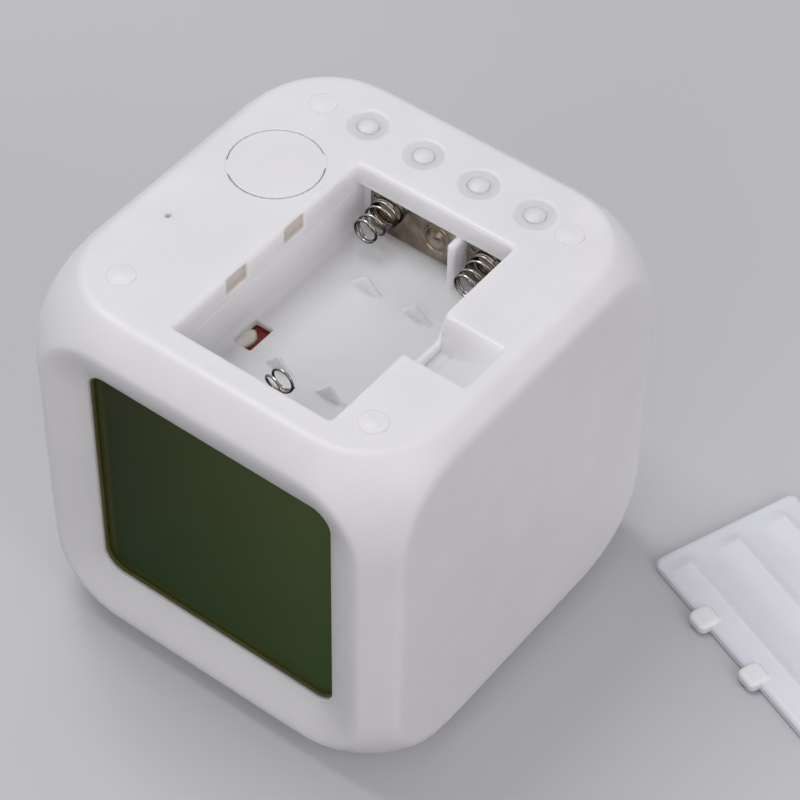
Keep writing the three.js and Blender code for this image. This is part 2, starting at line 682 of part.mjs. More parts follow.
// Battery door: flat lid with cell ribs, two hook tabs and a bent latch
function doorPiece() {
  const lid = new THREE.ExtrudeGeometry(
    roundedRect(DOOR_LENGTH / 2 - DOOR_EDGE_ROUND, DOOR_WIDTH / 2 - DOOR_EDGE_ROUND, DOOR_RADIUS),
    {
      depth: DOOR_THICK - 2 * DOOR_EDGE_ROUND,
      curveSegments: 5,
      bevelEnabled: true,
      bevelThickness: DOOR_EDGE_ROUND,
      bevelSize: DOOR_EDGE_ROUND,
      bevelSegments: 2,
    },
  );
  lid.translate(DOOR_LENGTH / 2, DOOR_WIDTH / 2, DOOR_EDGE_ROUND);
  const ribs = LANE_X.map((x) => {
    const v = x - BAY_X0 - (BAY_X1 - BAY_X0 - DOOR_WIDTH) / 2;
    const rib = new THREE.ExtrudeGeometry(
      outline([
        [-RIB_HALF, -0.3],
        [RIB_HALF, -0.3],
        [RIB_HALF, 0],
        [0.3, RIB_HEIGHT],
        [-0.3, RIB_HEIGHT],
        [-RIB_HALF, 0],
      ]),
      { depth: DOOR_LENGTH - 2 * RIB_MARGIN, bevelEnabled: false },
    );
    rib.rotateX(Math.PI / 2);
    rib.rotateZ(Math.PI / 2);
    rib.translate(RIB_MARGIN, v, DOOR_THICK);
    return solid(rib);
  });
  const tabs = NOTCH_Y.map((y) => {
    const u = y - BAY_Y0 - (BAY_Y1 - BAY_Y0 - DOOR_LENGTH) / 2;
    const half = TAB_WIDTH / 2;
    const top = DOOR_THICK + TAB_RISE;
    const blockShape = outline([
      [-TAB_REACH + 0.5, DOOR_THICK - 1],
      [1.2, DOOR_THICK - 0.6],
      [1.2, top],
      [-TAB_REACH + 0.4, top],
      [-TAB_REACH, top - 0.5],
      [-TAB_REACH, DOOR_THICK - 0.5],
    ]);
    const hook = new THREE.ExtrudeGeometry(blockShape, { depth: TAB_WIDTH, bevelEnabled: false });
    hook.rotateX(Math.PI / 2);
    hook.rotateZ(Math.PI / 2);
    hook.translate(u - half, 0, 0);
    const gusset = plate(
      outline([[-half, 0.8], [half, 0.8], [half * 0.35, 1.2 + TAB_GUSSET], [-half * 0.35, 1.2 + TAB_GUSSET]]),
      DOOR_THICK - 0.3,
      top,
      u,
      0,
    );
    const slope = new THREE.ExtrudeGeometry(
      outline([
        [1.2, top],
        [1.6 + TAB_GUSSET, DOOR_THICK - 0.2],
        [6, DOOR_THICK - 0.2],
        [6, top + 1],
        [1.2, top + 1],
      ]),
      { depth: TAB_WIDTH + 2, bevelEnabled: false },
    );
    slope.rotateX(Math.PI / 2);
    slope.rotateZ(Math.PI / 2);
    slope.translate(u - half - 1, 0, 0);
    return solid(hook).add(gusset.subtract(solid(slope)));
  });
  const legOut = DOOR_WIDTH + (BAY_X1 - INNER_X1) + STRIP_THICK + 2.2;
  const latch = new THREE.ExtrudeGeometry(
    outline([
      [DOOR_WIDTH - 1.5, 0.1],
      [legOut + 4, 0.1],
      [legOut + 4, 1.1],
      [legOut, 1.4],
      [legOut, 1.3 + LATCH_LEG],
      [legOut - 1.7, 1.3 + LATCH_LEG],
      [legOut - 1.7, 0.9 + LATCH_LEG],
      [legOut - 1, 0.4 + LATCH_LEG],
      [legOut - 1, 1.4],
      [DOOR_WIDTH - 1.5, 1.4],
    ]),
    { depth: LATCH_WIDTH, bevelEnabled: false },
  );
  latch.rotateX(Math.PI / 2);
  latch.rotateZ(Math.PI / 2);
  const latchMid = (POCKET_Y0 + POCKET_Y1) / 2 - BAY_Y0 - (BAY_Y1 - BAY_Y0 - DOOR_LENGTH) / 2;
  latch.translate(latchMid - LATCH_WIDTH / 2, 0, 0);
  const door = join(solid(lid), ...ribs, ...tabs, solid(latch));
  return door.rotate([0, 0, DOOR_TURN]).translate([DOOR_X, DOOR_Y, DOOR_LIFT]);
}
addPiece('battery_door', doorPiece(), 0xd6d6dd, 0.36);

// Four setting keys, each a domed button with a flange held under the cover
const keyNames = ['key_mode', 'key_set', 'key_up', 'key_down'];
KEY_X.forEach((x, i) => {
  const top = HEIGHT + KEY_RISE - KEY_UNDER;
  addPiece(keyNames[i], turned(x, KEY_Y, KEY_UNDER, [
    [0, 0],
    [KEY_FLANGE_RADIUS, 0],
    [KEY_FLANGE_RADIUS, KEY_FLANGE_THICK],
    [KEY_RADIUS, KEY_FLANGE_THICK],
    [KEY_RADIUS, top - 0.45],
    [KEY_RADIUS * 0.86, top - 0.15],
    [KEY_RADIUS * 0.5, top - 0.03],
    [0, top],
  ]), 0xe2e1e6, 0.4);
});

// Light disc: a round press plate on two short bridges, with a pin over its switch
const bridge = plate(
  outline([
    [-DISC_RADIUS - DISC_SLOT + BRIDGE_GAP, -BRIDGE_WIDTH / 2],
    [DISC_RADIUS + DISC_SLOT - BRIDGE_GAP, -BRIDGE_WIDTH / 2],
    [DISC_RADIUS + DISC_SLOT - BRIDGE_GAP, BRIDGE_WIDTH / 2],
    [-DISC_RADIUS - DISC_SLOT + BRIDGE_GAP, BRIDGE_WIDTH / 2],
  ]),
  HEIGHT - DISC_THICK,
  HEIGHT,
).rotate([0, 0, BRIDGE_ANGLE]).translate([DISC_X, DISC_Y, 0]);
const bridgeReach = DISC_RADIUS + DISC_SLOT - BRIDGE_GAP;
const bridgeTrim = rod(DISC_X, DISC_Y, HEIGHT - DISC_THICK - 1, HEIGHT + 1, bridgeReach, 56);
addPiece('light_disc', join(
  rod(DISC_X, DISC_Y, HEIGHT - DISC_THICK, HEIGHT, DISC_RADIUS, 56),
  bridge.intersect(bridgeTrim),
  rod(DISC_X, DISC_Y, DISC_PIN_Z, HEIGHT - DISC_THICK + 0.5, 1.5, 16),
), 0xdedde2, 0.38);

// Feet and the screws under them
for (const [place, x, y] of footSpots) {
  const stem = SCREW_SEAT_DEPTH - SCREW_HEAD - SEAT_FIT * 2;
  addPiece(`foot_${place}`, turned(x, y, HEIGHT - stem, [
    [0, 0],
    [FOOT_STEM_RADIUS, 0],
    [FOOT_STEM_RADIUS, stem + SEAT_FIT],
    [FOOT_RADIUS, stem + SEAT_FIT],
    [FOOT_RADIUS * 0.93, stem + FOOT_HEIGHT * 0.5],
    [FOOT_RADIUS * 0.7, stem + FOOT_HEIGHT * 0.82],
    [FOOT_RADIUS * 0.35, stem + FOOT_HEIGHT * 0.97],
    [0, stem + FOOT_HEIGHT],
  ], 20), 0xe0dfe4, 0.45);
}
function screwDown(x, y, z, length, headRadius, headHeight, shankRadius) {
  const reach = headRadius * 0.7;
  const slotZ = z + headHeight * 0.5;
  const slotTop = z + headHeight + 1;
  const slot = box(x - 0.25, x + 0.25, y - reach, y + reach, slotZ, slotTop);
  const cross = box(x - reach, x + reach, y - 0.25, y + 0.25, slotZ, slotTop);
  const body = turned(x, y, z, [
    [0, -length],
    [shankRadius * 0.6, -length],
    [shankRadius, -length + 0.8],
    [shankRadius, 0],
    [headRadius, 0],
    [headRadius, headHeight * 0.7],
    [headRadius * 0.8, headHeight],
    [0, headHeight],
  ], 10);
  return cut(body, slot, cross);
}
for (const [place, x, y] of footSpots) {
  addPiece(
    `base_screw_${place}`,
    screwDown(x, y, SCREW_SEAT_Z + SEAT_FIT, 12, SCREW_HEAD_RADIUS, SCREW_HEAD, SCREW_SHANK_RADIUS),
    0xa9a9ad,
    0.3,
    1,
  );
}

// Display stack: amber gasket, two glass plates, light sheet, rubber connector, holder and board
function ringPlate(halfW, halfH, radius, openW, openH, openRadius, y0, y1) {
  const outer = wallPlate(roundedRect(halfW, halfH, radius), y0, y1, 0, DISPLAY_Z, 5);
  const open = wallPlate(roundedRect(openW, openH, openRadius), y0 - 1, y1 + 1, 0, DISPLAY_Z, 6);
  return outer.subtract(open);
}
addPiece('lcd_gasket', ringPlate(
  GLASS_HALF_W,
  GLASS_HALF_H,
  1,
  WINDOW_HALF_W - GASKET_SHOW,
  WINDOW_HALF_H - GASKET_SHOW,
  WINDOW_RADIUS,
  GASKET_Y,
  GASKET_Y + GASKET_THICK,
), 0x8a6a35, 0.6);
const glassLow = DISPLAY_Z - GLASS_HALF_H;
const glassHigh = DISPLAY_Z + GLASS_HALF_H;
addPiece('lcd_front_glass', box(
  -GLASS_HALF_W, GLASS_HALF_W, GLASS_Y, GLASS_Y + GLASS_THICK, glassLow, glassHigh,
), 0x39452c, 0.25);
addPiece('lcd_rear_glass', box(
  -GLASS_HALF_W, GLASS_HALF_W, REAR_GLASS_Y, REAR_GLASS_Y + GLASS_THICK, glassLow + GLASS_STEP, glassHigh,
), 0x39452c, 0.25);
addPiece('light_sheet', box(
  -GLASS_HALF_W,
  GLASS_HALF_W,
  BACKLIGHT_Y,
  BACKLIGHT_Y + BACKLIGHT_THICK,
  glassLow + GLASS_STEP,
  BOX_UNDER - GAP,
), 0xe8e8e4, 0.6);
addPiece('zebra_strip', box(
  ZEBRA_INSET - GLASS_HALF_W,
  GLASS_HALF_W - ZEBRA_INSET,
  REAR_GLASS_Y,
  PANEL_BOARD_Y - SEAT_FIT,
  glassLow + ZEBRA_RISE,
  glassLow + ZEBRA_RISE + ZEBRA_WIDTH,
), 0x35353a, 0.8);
let holder = ringPlate(
  holderW, holderH, HOLDER_RADIUS, GLASS_HALF_W + GAP, GLASS_HALF_H + GAP, 0.6, GASKET_Y, HOLDER_Y1,
);
holder = join(
  holder,
  box(-holderW + 0.2, -GLASS_HALF_W - GAP, HOLDER_Y1 - 0.5, HOLDER_Y1 + RAIL_HEIGHT, RAIL_Z0, RAIL_Z1),
  box(GLASS_HALF_W + GAP, holderW - 0.2, HOLDER_Y1 - 0.5, HOLDER_Y1 + RAIL_HEIGHT, RAIL_Z0, RAIL_Z1),
);
const railZ = (RAIL_Z0 + RAIL_Z1) / 2;
holder = cut(
  holder,
  ...holderSpots.map(([, x, z]) => rodY(
    x, z, GASKET_Y - 1, HOLDER_Y1 + 1, SMALL_SHANK_RADIUS + SCREW_CLEARANCE, 10,
  )),
  ...[-holderX, holderX].map((x) => rodY(
    x, railZ, HOLDER_Y1 - 2, HOLDER_Y1 + RAIL_HEIGHT + 1, SMALL_SHANK_RADIUS + SEAT_FIT, 10,
  )),
);
addPiece('lcd_holder', holder, 0xe4e4e6, 0.5);
function screwForward(x, z, y, length) {
  const body = screwDown(0, 0, 0, length, SMALL_HEAD_RADIUS, SMALL_HEAD, SMALL_SHANK_RADIUS);
  return body.rotate([-90, 0, 0]).translate([x, y, z]);
}
for (const [place, x, z] of holderSpots) {
  addPiece(
    `holder_screw_${place}`,
    screwForward(x, z, HOLDER_Y1 + SEAT_FIT, HOLDER_THICK + HOLDER_BITE),
    0xa9a9ad,
    0.3,
    1,
  );
}
const panelBoard = cut(
  box(-holderW + 0.4, holderW - 0.4, PANEL_BOARD_Y, PANEL_BOARD_BACK, glassLow - 1, PANEL_BOARD_TOP),
  ...[-holderX, holderX].map((x) => rodY(
    x, railZ, PANEL_BOARD_Y - 1, PANEL_BOARD_BACK + 1, SMALL_SHANK_RADIUS + SCREW_CLEARANCE, 10,
  )),
);
addPiece('display_board', panelBoard, 0x5c2a1c, 0.55);
[['left', -holderX], ['right', holderX]].forEach(([place, x]) => addPiece(
  `board_screw_${place}`,
  screwForward(x, railZ, PANEL_BOARD_BACK + SEAT_FIT, PANEL_BOARD_THICK + RAIL_HEIGHT + 1),
  0xa9a9ad,
  0.3,
  1,
));
addPiece('chip_blob', turned(0, 0, 0, [
  [0, 0],
  [CHIP_RADIUS, 0],
  [CHIP_RADIUS * 0.91, CHIP_HEIGHT * 0.45],
  [CHIP_RADIUS * 0.66, CHIP_HEIGHT * 0.8],
  [CHIP_RADIUS * 0.29, CHIP_HEIGHT * 0.97],
  [0, CHIP_HEIGHT],
], 24).rotate([-90, 0, 0]).translate([4, PANEL_BOARD_BACK + SEAT_FIT, DISPLAY_Z - 4]), 0x17171a, 0.35);
const crystalCan = rod(0, 0, 0, CRYSTAL_LENGTH, CRYSTAL_RADIUS, 14);
const crystalY = PANEL_BOARD_BACK + CRYSTAL_RADIUS + SEAT_FIT;
addPiece('crystal', crystalCan.translate([-2 * CHIP_RADIUS, crystalY, DISPLAY_Z - 10]), 0xb9b9bd, 0.25, 1);

// Light board under the battery box with three coloured lamps
const lightBoard = cut(
  box(BAY_X0 - 3, boxX1, BAY_Y0 + 5, BAY_Y1 - 3, LIGHT_BOARD_Z0, LIGHT_BOARD_Z1),
  ...LIGHT_SCREW_Y.map((y) => rod(
    LIGHT_SCREW_X, y, LIGHT_BOARD_Z0 - 1, LIGHT_BOARD_Z1 + 1, SMALL_SHANK_RADIUS + SCREW_CLEARANCE, 10,
  )),
);
addPiece('light_board', lightBoard, 0x64241a, 0.5);
LIGHT_SCREW_Y.forEach((y, i) => {
  const reach = BOARD_THICK + LIGHT_BOARD_DROP + 0.2;
  const screw = screwDown(0, 0, 0, reach, SMALL_HEAD_RADIUS, SMALL_HEAD, SMALL_SHANK_RADIUS);
  addPiece(
    `light_screw_${i ? 'rear' : 'front'}`,
    screw.rotate([180, 0, 0]).translate([LIGHT_SCREW_X, y, LIGHT_BOARD_Z0 - SEAT_FIT]),
    0xa9a9ad,
    0.3,
    1,
  );
});
const lampTone = { red: 0xd2564c, green: 0x58b05f, blue: 0x4f6fd0 };
Object.keys(lampTone).forEach((tone, i) => addPiece(
  `lamp_${tone}`,
  turned(LED_X[i], LED_Y, LIGHT_BOARD_Z0 - SEAT_FIT, [
    [0, 0],
    [LED_RADIUS + 0.4, 0],
    [LED_RADIUS + 0.4, -1],
    [LED_RADIUS, -1],
    [LED_RADIUS, -LED_LENGTH + LED_RADIUS],
    [LED_RADIUS * 0.87, -LED_LENGTH + LED_RADIUS * 0.5],
    [LED_RADIUS * 0.5, -LED_LENGTH + LED_RADIUS * 0.13],
    [0, -LED_LENGTH],
  ], 16),
  lampTone[tone],
  0.2,
));
const glueBead = turned(0, 0, 0, [
  [0, 0], [1, 0], [0.96, 0.43], [0.74, 0.79], [0.35, 0.96], [0, 1],
], 16).scale([GLUE_HALF_X, GLUE_HALF_Y, GLUE_HEIGHT]);
addPiece(
  'wire_glue',
  glueBead.translate([PEEP_X0 + GLUE_HALF_X + 0.2, (PEEP_Y0 + PEEP_Y1) / 2 - 0.2, LIGHT_BOARD_Z1 + SEAT_FIT]),
  0xe6e3d8,
  0.5,
);

// Sounder under the small hole in the cover
addPiece('sounder', turned(SOUND_HOLE_X + SOUNDER_OFFSET, SOUND_HOLE_Y, COVER_UNDER - SEAT_FIT, [
  [0, 0],
  [SOUNDER_RADIUS, 0],
  [SOUNDER_RADIUS, -SOUNDER_HEIGHT * 0.84],
  [SOUNDER_RADIUS * 0.91, -SOUNDER_HEIGHT],
  [0, -SOUNDER_HEIGHT],
], 28), 0x202024, 0.5);

// Key board with its five switches
const keyBoardShape = outline([
  [KEY_WING_X0, KEY_WING_Y0],
  [KEY_WING_X1, KEY_WING_Y0],
  [KEY_WING_X1, KEY_BOARD_Y0],
  [KEY_BOARD_HALF, KEY_BOARD_Y0],
  [KEY_BOARD_HALF, KEY_BOARD_Y1],
  [-KEY_BOARD_HALF, KEY_BOARD_Y1],
  [-KEY_BOARD_HALF, KEY_BOARD_Y0],
  [KEY_WING_X0, KEY_BOARD_Y0],
]);
const keyBoard = cut(
  plate(keyBoardShape, KEY_BOARD_Z0, KEY_BOARD_Z1),
  ...KEY_SCREW_X.map((x) => rod(
    x, KEY_Y, KEY_BOARD_Z0 - 1, KEY_BOARD_Z1 + 1, SMALL_SHANK_RADIUS + SCREW_CLEARANCE, 10,
  )),
);
addPiece('key_board', keyBoard, 0x5c2a1c, 0.55);
KEY_SCREW_X.forEach((x, i) => {
  const screw = screwDown(0, 0, 0, BOARD_THICK + 3, SMALL_HEAD_RADIUS, SMALL_HEAD, SMALL_SHANK_RADIUS);
  addPiece(
    `key_screw_${i ? 'right' : 'left'}`,
    screw.rotate([180, 0, 0]).translate([x, KEY_Y, KEY_BOARD_Z0 - SEAT_FIT]),
    0xa9a9ad,
    0.3,
    1,
  );
});
function pushSwitch(x, y) {
  const half = SWITCH_SIDE / 2;
  const z = KEY_BOARD_Z1 + SEAT_FIT;
  return join(
    box(x - half, x + half, y - half, y + half, z, z + SWITCH_BODY),
    rod(x, y, z + SWITCH_BODY - 0.5, PLUNGER_TOP, PLUNGER_RADIUS, 14),
  );
}
KEY_X.forEach((x, i) => addPiece(`switch_${keyNames[i].slice(4)}`, pushSwitch(x, KEY_Y), 0x2a2a2e, 0.45));
addPiece('switch_light', pushSwitch(DISC_X, DISC_Y), 0x2a2a2e, 0.45);

// Battery contacts: nickel plates with pressed domes, and conical springs
const rearY = CONTACT_Y1 - GAP - PLATE_THICK;
const frontY = CONTACT_Y0 + GAP + PLATE_THICK;
const plateLow = FLOOR_Z + GAP;
const plateHigh = LIP_Z - GAP;
function dome(x, y, direction) {
  const cap = turned(0, 0, 0, [
    [0, -0.2],
    [DOME_RADIUS, -0.2],
    [DOME_RADIUS, 0],
    [DOME_RADIUS * 0.86, DOME_HEIGHT * 0.5],
    [DOME_RADIUS * 0.55, DOME_HEIGHT * 0.86],
    [0, DOME_HEIGHT],
  ], 20);
  return cap.rotate([direction > 0 ? -90 : 90, 0, 0]).translate([x, y, CELL_Z]);
}
function contactPlate(x0, x1, face, direction) {
  const back = face - direction * PLATE_THICK;
  return box(x0, x1, Math.min(face, back), Math.max(face, back), plateLow, plateHigh);
}
function contactTail(x, face, direction) {
  const back = face - direction * PLATE_THICK;
  const half = TAIL_WIDTH / 2;
  const low = BOX_UNDER - TAIL_DROP;
  return box(x - half, x + half, Math.min(face, back), Math.max(face, back), low, plateLow + 1);
}
const leftEnd = INNER_X0 + PLATE_MARGIN + FLOOR_CHAMFER * 0.3;
const rightEnd = INNER_X1 - PLATE_MARGIN;
const rearSplit = DIVIDE_X[1];
const frontSplit = DIVIDE_X[0];
const splitGap = dividerHalf + GAP;
const nickel = 0xb5b0a8;
addPiece('rear_bridge_plate', cut(
  join(contactPlate(leftEnd + 0.9, rearSplit - splitGap, rearY, -1), dome(LANE_X[1], rearY, -1)),
  rodY(LANE_X[0] - 3.4, CELL_Z + 2.2, rearY - 1, rearY + 1, 0.6, 12),
), nickel, 0.24, 1);
addPiece('rear_terminal_plate', cut(
  join(contactPlate(rearSplit + splitGap, rightEnd, rearY, -1), contactTail(LANE_X[2], rearY, -1)),
  rodY(LANE_X[2] - 3.3, CELL_Z + 1.6, rearY - 1, rearY + 1, 0.5, 12),
), nickel, 0.24, 1);
addPiece('front_terminal_plate', join(
  contactPlate(leftEnd + 0.9, frontSplit - splitGap, frontY, 1),
  dome(LANE_X[0], frontY, 1),
  contactTail(LANE_X[0], frontY, 1),
), nickel, 0.24, 1);
addPiece('front_bridge_plate', join(
  contactPlate(frontSplit + splitGap, rightEnd, frontY, 1),
  dome(LANE_X[2], frontY, 1),
), nickel, 0.24, 1);

class ConeCoil extends THREE.Curve {
  constructor(x, y, z, reach) {
    super();
    this.spot = [x, y, z];
    this.reach = reach;
  }

  getPoint(t) {
    const angle = 2 * Math.PI * SPRING_TURNS * t;
    const radius = SPRING_BASE_RADIUS + (SPRING_TIP_RADIUS - SPRING_BASE_RADIUS) * t;
    const [x, y, z] = this.spot;
    return new THREE.Vector3(
      x + radius * Math.cos(angle),
      y + this.reach * t,
      z + radius * Math.sin(angle),
    );
  }
}
const springSteps = Math.round(SPRING_TURNS * SPRING_STEPS);
function coil(x, face, reach) {
  const curve = new ConeCoil(x, face + Math.sign(reach) * (SPRING_WIRE / 2 + SEAT_FIT), CELL_Z, reach);
  const points = curve.getSpacedPoints(springSteps * 4);
  let least = Infinity;
  for (let i = 0; i < points.length; i += 1) {
    for (let k = i + SPRING_STEPS * 2; k < points.length; k += 1) {
      least = Math.min(least, points[i].distanceTo(points[k]) - SPRING_WIRE);
    }
  }
  console.log(`spring at x ${x.toFixed(2)}: least gap between curls ${least.toFixed(2)} mm`);
  return swept(curve, roundWire(SPRING_WIRE / 2, SPRING_SIDES), springSteps);
}
addPiece('rear_bridge_spring', coil(LANE_X[0], rearY, -REAR_SPRING_LENGTH), 0xc4c0b8, 0.2, 1);
addPiece('rear_terminal_spring', coil(LANE_X[2], rearY, -REAR_SPRING_LENGTH), 0xc4c0b8, 0.2, 1);
addPiece('front_bridge_spring', coil(LANE_X[1], frontY, FRONT_SPRING_LENGTH), 0xc4c0b8, 0.2, 1);

// Wiring between the contacts and the boards
function wire(points) {
  const curve = new THREE.CatmullRomCurve3(points.map((p) => new THREE.Vector3(...p)));
  return swept(curve, roundWire(WIRE_RADIUS, 6), 20);
}
const wireEnd = LIGHT_BOARD_Z0 - WIRE_RADIUS - SEAT_FIT;
const tailEnd = BOX_UNDER - TAIL_DROP + 1;
const tailSide = PLATE_THICK + WIRE_RADIUS + SEAT_FIT;
addPiece('red_lead', wire([
  [LANE_X[0], frontY + WIRE_RADIUS + SEAT_FIT, tailEnd],
  [LANE_X[0], frontY + 1.6, tailEnd - 3],
  [LANE_X[0] + 1, BAY_Y0 + 5, wireEnd - 2.4],
  [LANE_X[0] + 2, BAY_Y0 + 9, wireEnd],
]), 0xb02a24, 0.5);
addPiece('black_lead', wire([
  [LANE_X[2], rearY + tailSide - PLATE_THICK * 2 - WIRE_RADIUS * 2 - SEAT_FIT * 2, tailEnd],
  [LANE_X[2], rearY - 1.6, tailEnd - 3],
  [LANE_X[2] - 1, BAY_Y1 - 3, wireEnd - 2.4],
  [LANE_X[2] - 2, BAY_Y1 - 7, wireEnd],
]), 0x1f1f22, 0.5);
function ribbon(points, steps) {
  const curve = new THREE.CatmullRomCurve3(points.map((p) => new THREE.Vector3(...p)));
  const half = RIBBON_WIDTH / 2;
  const thin = RIBBON_THICK / 2;
  return swept(curve, outline([[-half, -thin], [half, -thin], [half, thin], [-half, thin]]), steps);
}
const ribbonX = KEY_WING_X1 - RIBBON_WIDTH / 2;
addPiece('key_ribbon', ribbon([
  [ribbonX, PANEL_BOARD_BACK + RIBBON_THICK, RIBBON_END_Z],
  [ribbonX, PANEL_BOARD_BACK + 1.4, RIBBON_END_Z + RIBBON_RISE],
  [ribbonX, DISC_Y - 2.3 * RIBBON_RUN, KEY_BOARD_Z0 - RIBBON_RUN],
  [ribbonX, DISC_Y - 1.15 * RIBBON_RUN, KEY_BOARD_Z0 - 3],
  [ribbonX, DISC_Y - 2, KEY_BOARD_Z0 - RIBBON_THICK - SEAT_FIT],
], 24), 0xc9c9cd, 0.6);
addPiece('light_ribbon', ribbon([
  [LED_X[2] + LED_RADIUS, PANEL_BOARD_BACK + RIBBON_THICK, RIBBON_END_Z],
  [LED_X[2] + LED_RADIUS, PANEL_BOARD_BACK + 1.4, RIBBON_END_Z + RIBBON_RISE],
  [LED_X[2] + LED_RADIUS, BAY_Y0 + RIBBON_LAP / 2, wireEnd - 3],
  [LED_X[2] + LED_RADIUS, BAY_Y0 + RIBBON_LAP * 1.5, LIGHT_BOARD_Z0 - RIBBON_THICK - SEAT_FIT],
], 20), 0xc9c9cd, 0.6);

export default clock;
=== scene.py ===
import math

import bmesh
import bpy
import numpy as np
from mathutils import Matrix, Vector


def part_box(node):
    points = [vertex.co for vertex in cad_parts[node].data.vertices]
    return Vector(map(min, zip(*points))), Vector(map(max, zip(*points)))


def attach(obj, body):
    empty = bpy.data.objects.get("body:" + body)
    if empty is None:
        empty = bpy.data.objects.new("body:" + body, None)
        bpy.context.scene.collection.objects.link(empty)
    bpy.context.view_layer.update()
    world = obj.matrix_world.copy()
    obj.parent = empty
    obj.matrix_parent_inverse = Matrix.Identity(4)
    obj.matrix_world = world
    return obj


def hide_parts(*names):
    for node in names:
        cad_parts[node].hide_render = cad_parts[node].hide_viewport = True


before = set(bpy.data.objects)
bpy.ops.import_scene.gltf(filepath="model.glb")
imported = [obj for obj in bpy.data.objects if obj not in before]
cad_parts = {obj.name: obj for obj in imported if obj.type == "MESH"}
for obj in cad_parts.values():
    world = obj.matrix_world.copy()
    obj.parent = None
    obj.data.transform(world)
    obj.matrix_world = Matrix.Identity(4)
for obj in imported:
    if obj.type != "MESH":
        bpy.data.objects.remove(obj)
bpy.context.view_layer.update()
MM = 0.001

# Case block, the same sizes as the part's own, in millimetres
HALF_WIDTH = 39.8
FRONT = 41.3
REAR = 39.8
HEIGHT = 80.0
CORNER_RADIUS = 24.0
CORNER_GROW = 5.4
FRONT_GROW = 3.7
CREASE_BLEND = 0.7
WALL = 2.2
COVER_LEDGE = (1.6, 2.0)
BLOCK_LOW = np.array([-HALF_WIDTH - CORNER_GROW, -FRONT - FRONT_GROW, -CORNER_GROW])
BLOCK_HIGH = np.array([HALF_WIDTH + CORNER_GROW, REAR + CORNER_GROW, HEIGHT + CORNER_GROW])

# Display and its frame
WINDOW_HALF = (26.3, 25.7)
WINDOW_RADIUS = 4.0
DISPLAY_Z = 40.0
DISH_DEPTH = 3.3
DISH_RUN = 8.4
WINDOW_Y = -FRONT + DISH_DEPTH
LIP_THICK = 0.7
LIP_ROUND = 0.6
LIP_TILT = math.atan(1.5 * DISH_DEPTH / DISH_RUN)
LIP_START = LIP_ROUND * (1 - math.sin(LIP_TILT))
RIDGE_BLEND = 0.5
PANEL_HALF = 26.0
# Where the painted reflection along the left and lower edges of the display begins
REFLECTION_BAND_LEFT = (-24.0, -24.6)
REFLECTION_BAND_LOW = (16.6, 15.8)

# Fillets of the mouldings, and how their surfaces are found
FINE_FILLET = 0.2
NARROW_FILLET = 0.25
FILLET = 0.3
SOFT_FILLET = 0.6
WIDE_FILLET = 0.7
FIELD_MARGIN = 0.7
FLAT_ANGLE = 0.4
HALVINGS = 44
MERGES_PER_MM = 2000
FRONT_CAST_Y = -20.0
BASE_CAST_Z = 60.0
CAST_REACH = 40.0
RAY_REACH = 80.0

# Base cover, with the keys, light disc and feet that sit in it
COVER_HALF = 35.8
COVER_RADIUS = 14.0
COVER_THICK = 2.4
COVER_EDGE = 0.6
COVER_CELL = 0.36
OPEN_TOP = 90.0
HOLE_DEPTH = 10.0
SEAM_LAP = 0.6
SEAM_RISE = 0.008
BAY_X = (-12.1, 21.1)
BAY_Y = (-30.95, 18.6)
BAY_RADIUS = 1.0
INNER_X = (-12.05, 20.8)
LEDGE_Y = (-30.7, 18.35)
CONTACT_Y = (-32.35, 20.0)
SEAT_Z = 76.2
MOUTH_ROUND = (77.0, 79.0)
LIP_Z = 75.4
FLOOR_Z = 66.0
BOX_WALL = 1.5
ROOT = 0.5
LANE_X = (-6.4, 4.5, 15.4)
DIVIDE_X = (-0.95, 9.95)
CELL_Z = 71.4
CUSP_Y = (6.2, -17.6)
CUSP_HEIGHT = 3.2
CUSP_REACH = 3.3
CUSP_HALF = 0.5
SLANT_LEG = 1.3
POST_DEPTH = 2.6
POST_HALF = 0.8
NOTCH_X = (-13.0, -11.0)
NOTCH_Y = [(mid - 5.4 / 2, mid + 5.4 / 2) for mid in (-14.4, 1.0)]
NOTCH_Z = (76.1, 79.3)
PEEP_X = (-11.2, -7.4)
PEEP_Y = (-17.4, -11.1)
PEEP_Z = (FLOOR_Z - 4, FLOOR_Z + 2)
POCKET_X1 = 33.9
POCKET_MID_X = 16.9
POCKET_HALF_X = 17.0
POCKET_Y = (-12.2, -1.3)
POCKET_MID_Y = sum(POCKET_Y) / 2
POCKET_Z = 73.4
POCKET_FLOOR = 2.2
POCKET_CORNER = 0.8
POCKET_FILLET = 0.4
STRIP_X1 = 22.1
STRIP_Z = 75.2
SHELF_LAP = 1.0
STEEP_SHARE = 0.5
POCKET_FLAT = 2.4
POCKET_STEP = 1.0
POCKET_RISE = (HEIGHT - POCKET_STEP - POCKET_Z) / (POCKET_X1 - STRIP_X1 - POCKET_FLAT)
WALL_LEAN = (1.9, 3.2)
WALL_LEAN_RUN = 7.0
WALL_CURVE = 1.7
KEY_NODES = ("key_mode", "key_set", "key_up", "key_down")
KEY_RING_RADIUS = 3.6
KEY_RING_DEPTH = 0.2
KEY_HOLE_RADIUS = 1.97
KEY_RADIUS = 1.95
KEY_DROP = 0.17
KEY_FLANGE = (3.0, 0.8)
DISC_SPOT = (-23.55, 9.85)
DISC_HOLE_RADIUS = 8.7
DISC_RADIUS = 8.55
DISC_THICK = 2.0
DISC_ROUND = 0.15
DISC_STEM = 1.5
DISC_BRIDGE_TURN = 43.0
DISC_BRIDGE_HALF = 11.5
DISC_BRIDGE_GROW = 0.3
FOOT_NODES = ("foot_front_left", "foot_front_right", "foot_rear_left", "foot_rear_right")
FOOT_RADIUS = 2.6
FOOT_HEIGHT = 0.24
FOOT_SINK = 0.02
FOOT_PLUG = (1.9, 3.0)
FOOT_SEAT = (2.4, 3.8)
FOOT_BOSS = (3.1, 5.4)
SCREW_HOLE_RADIUS = 1.25
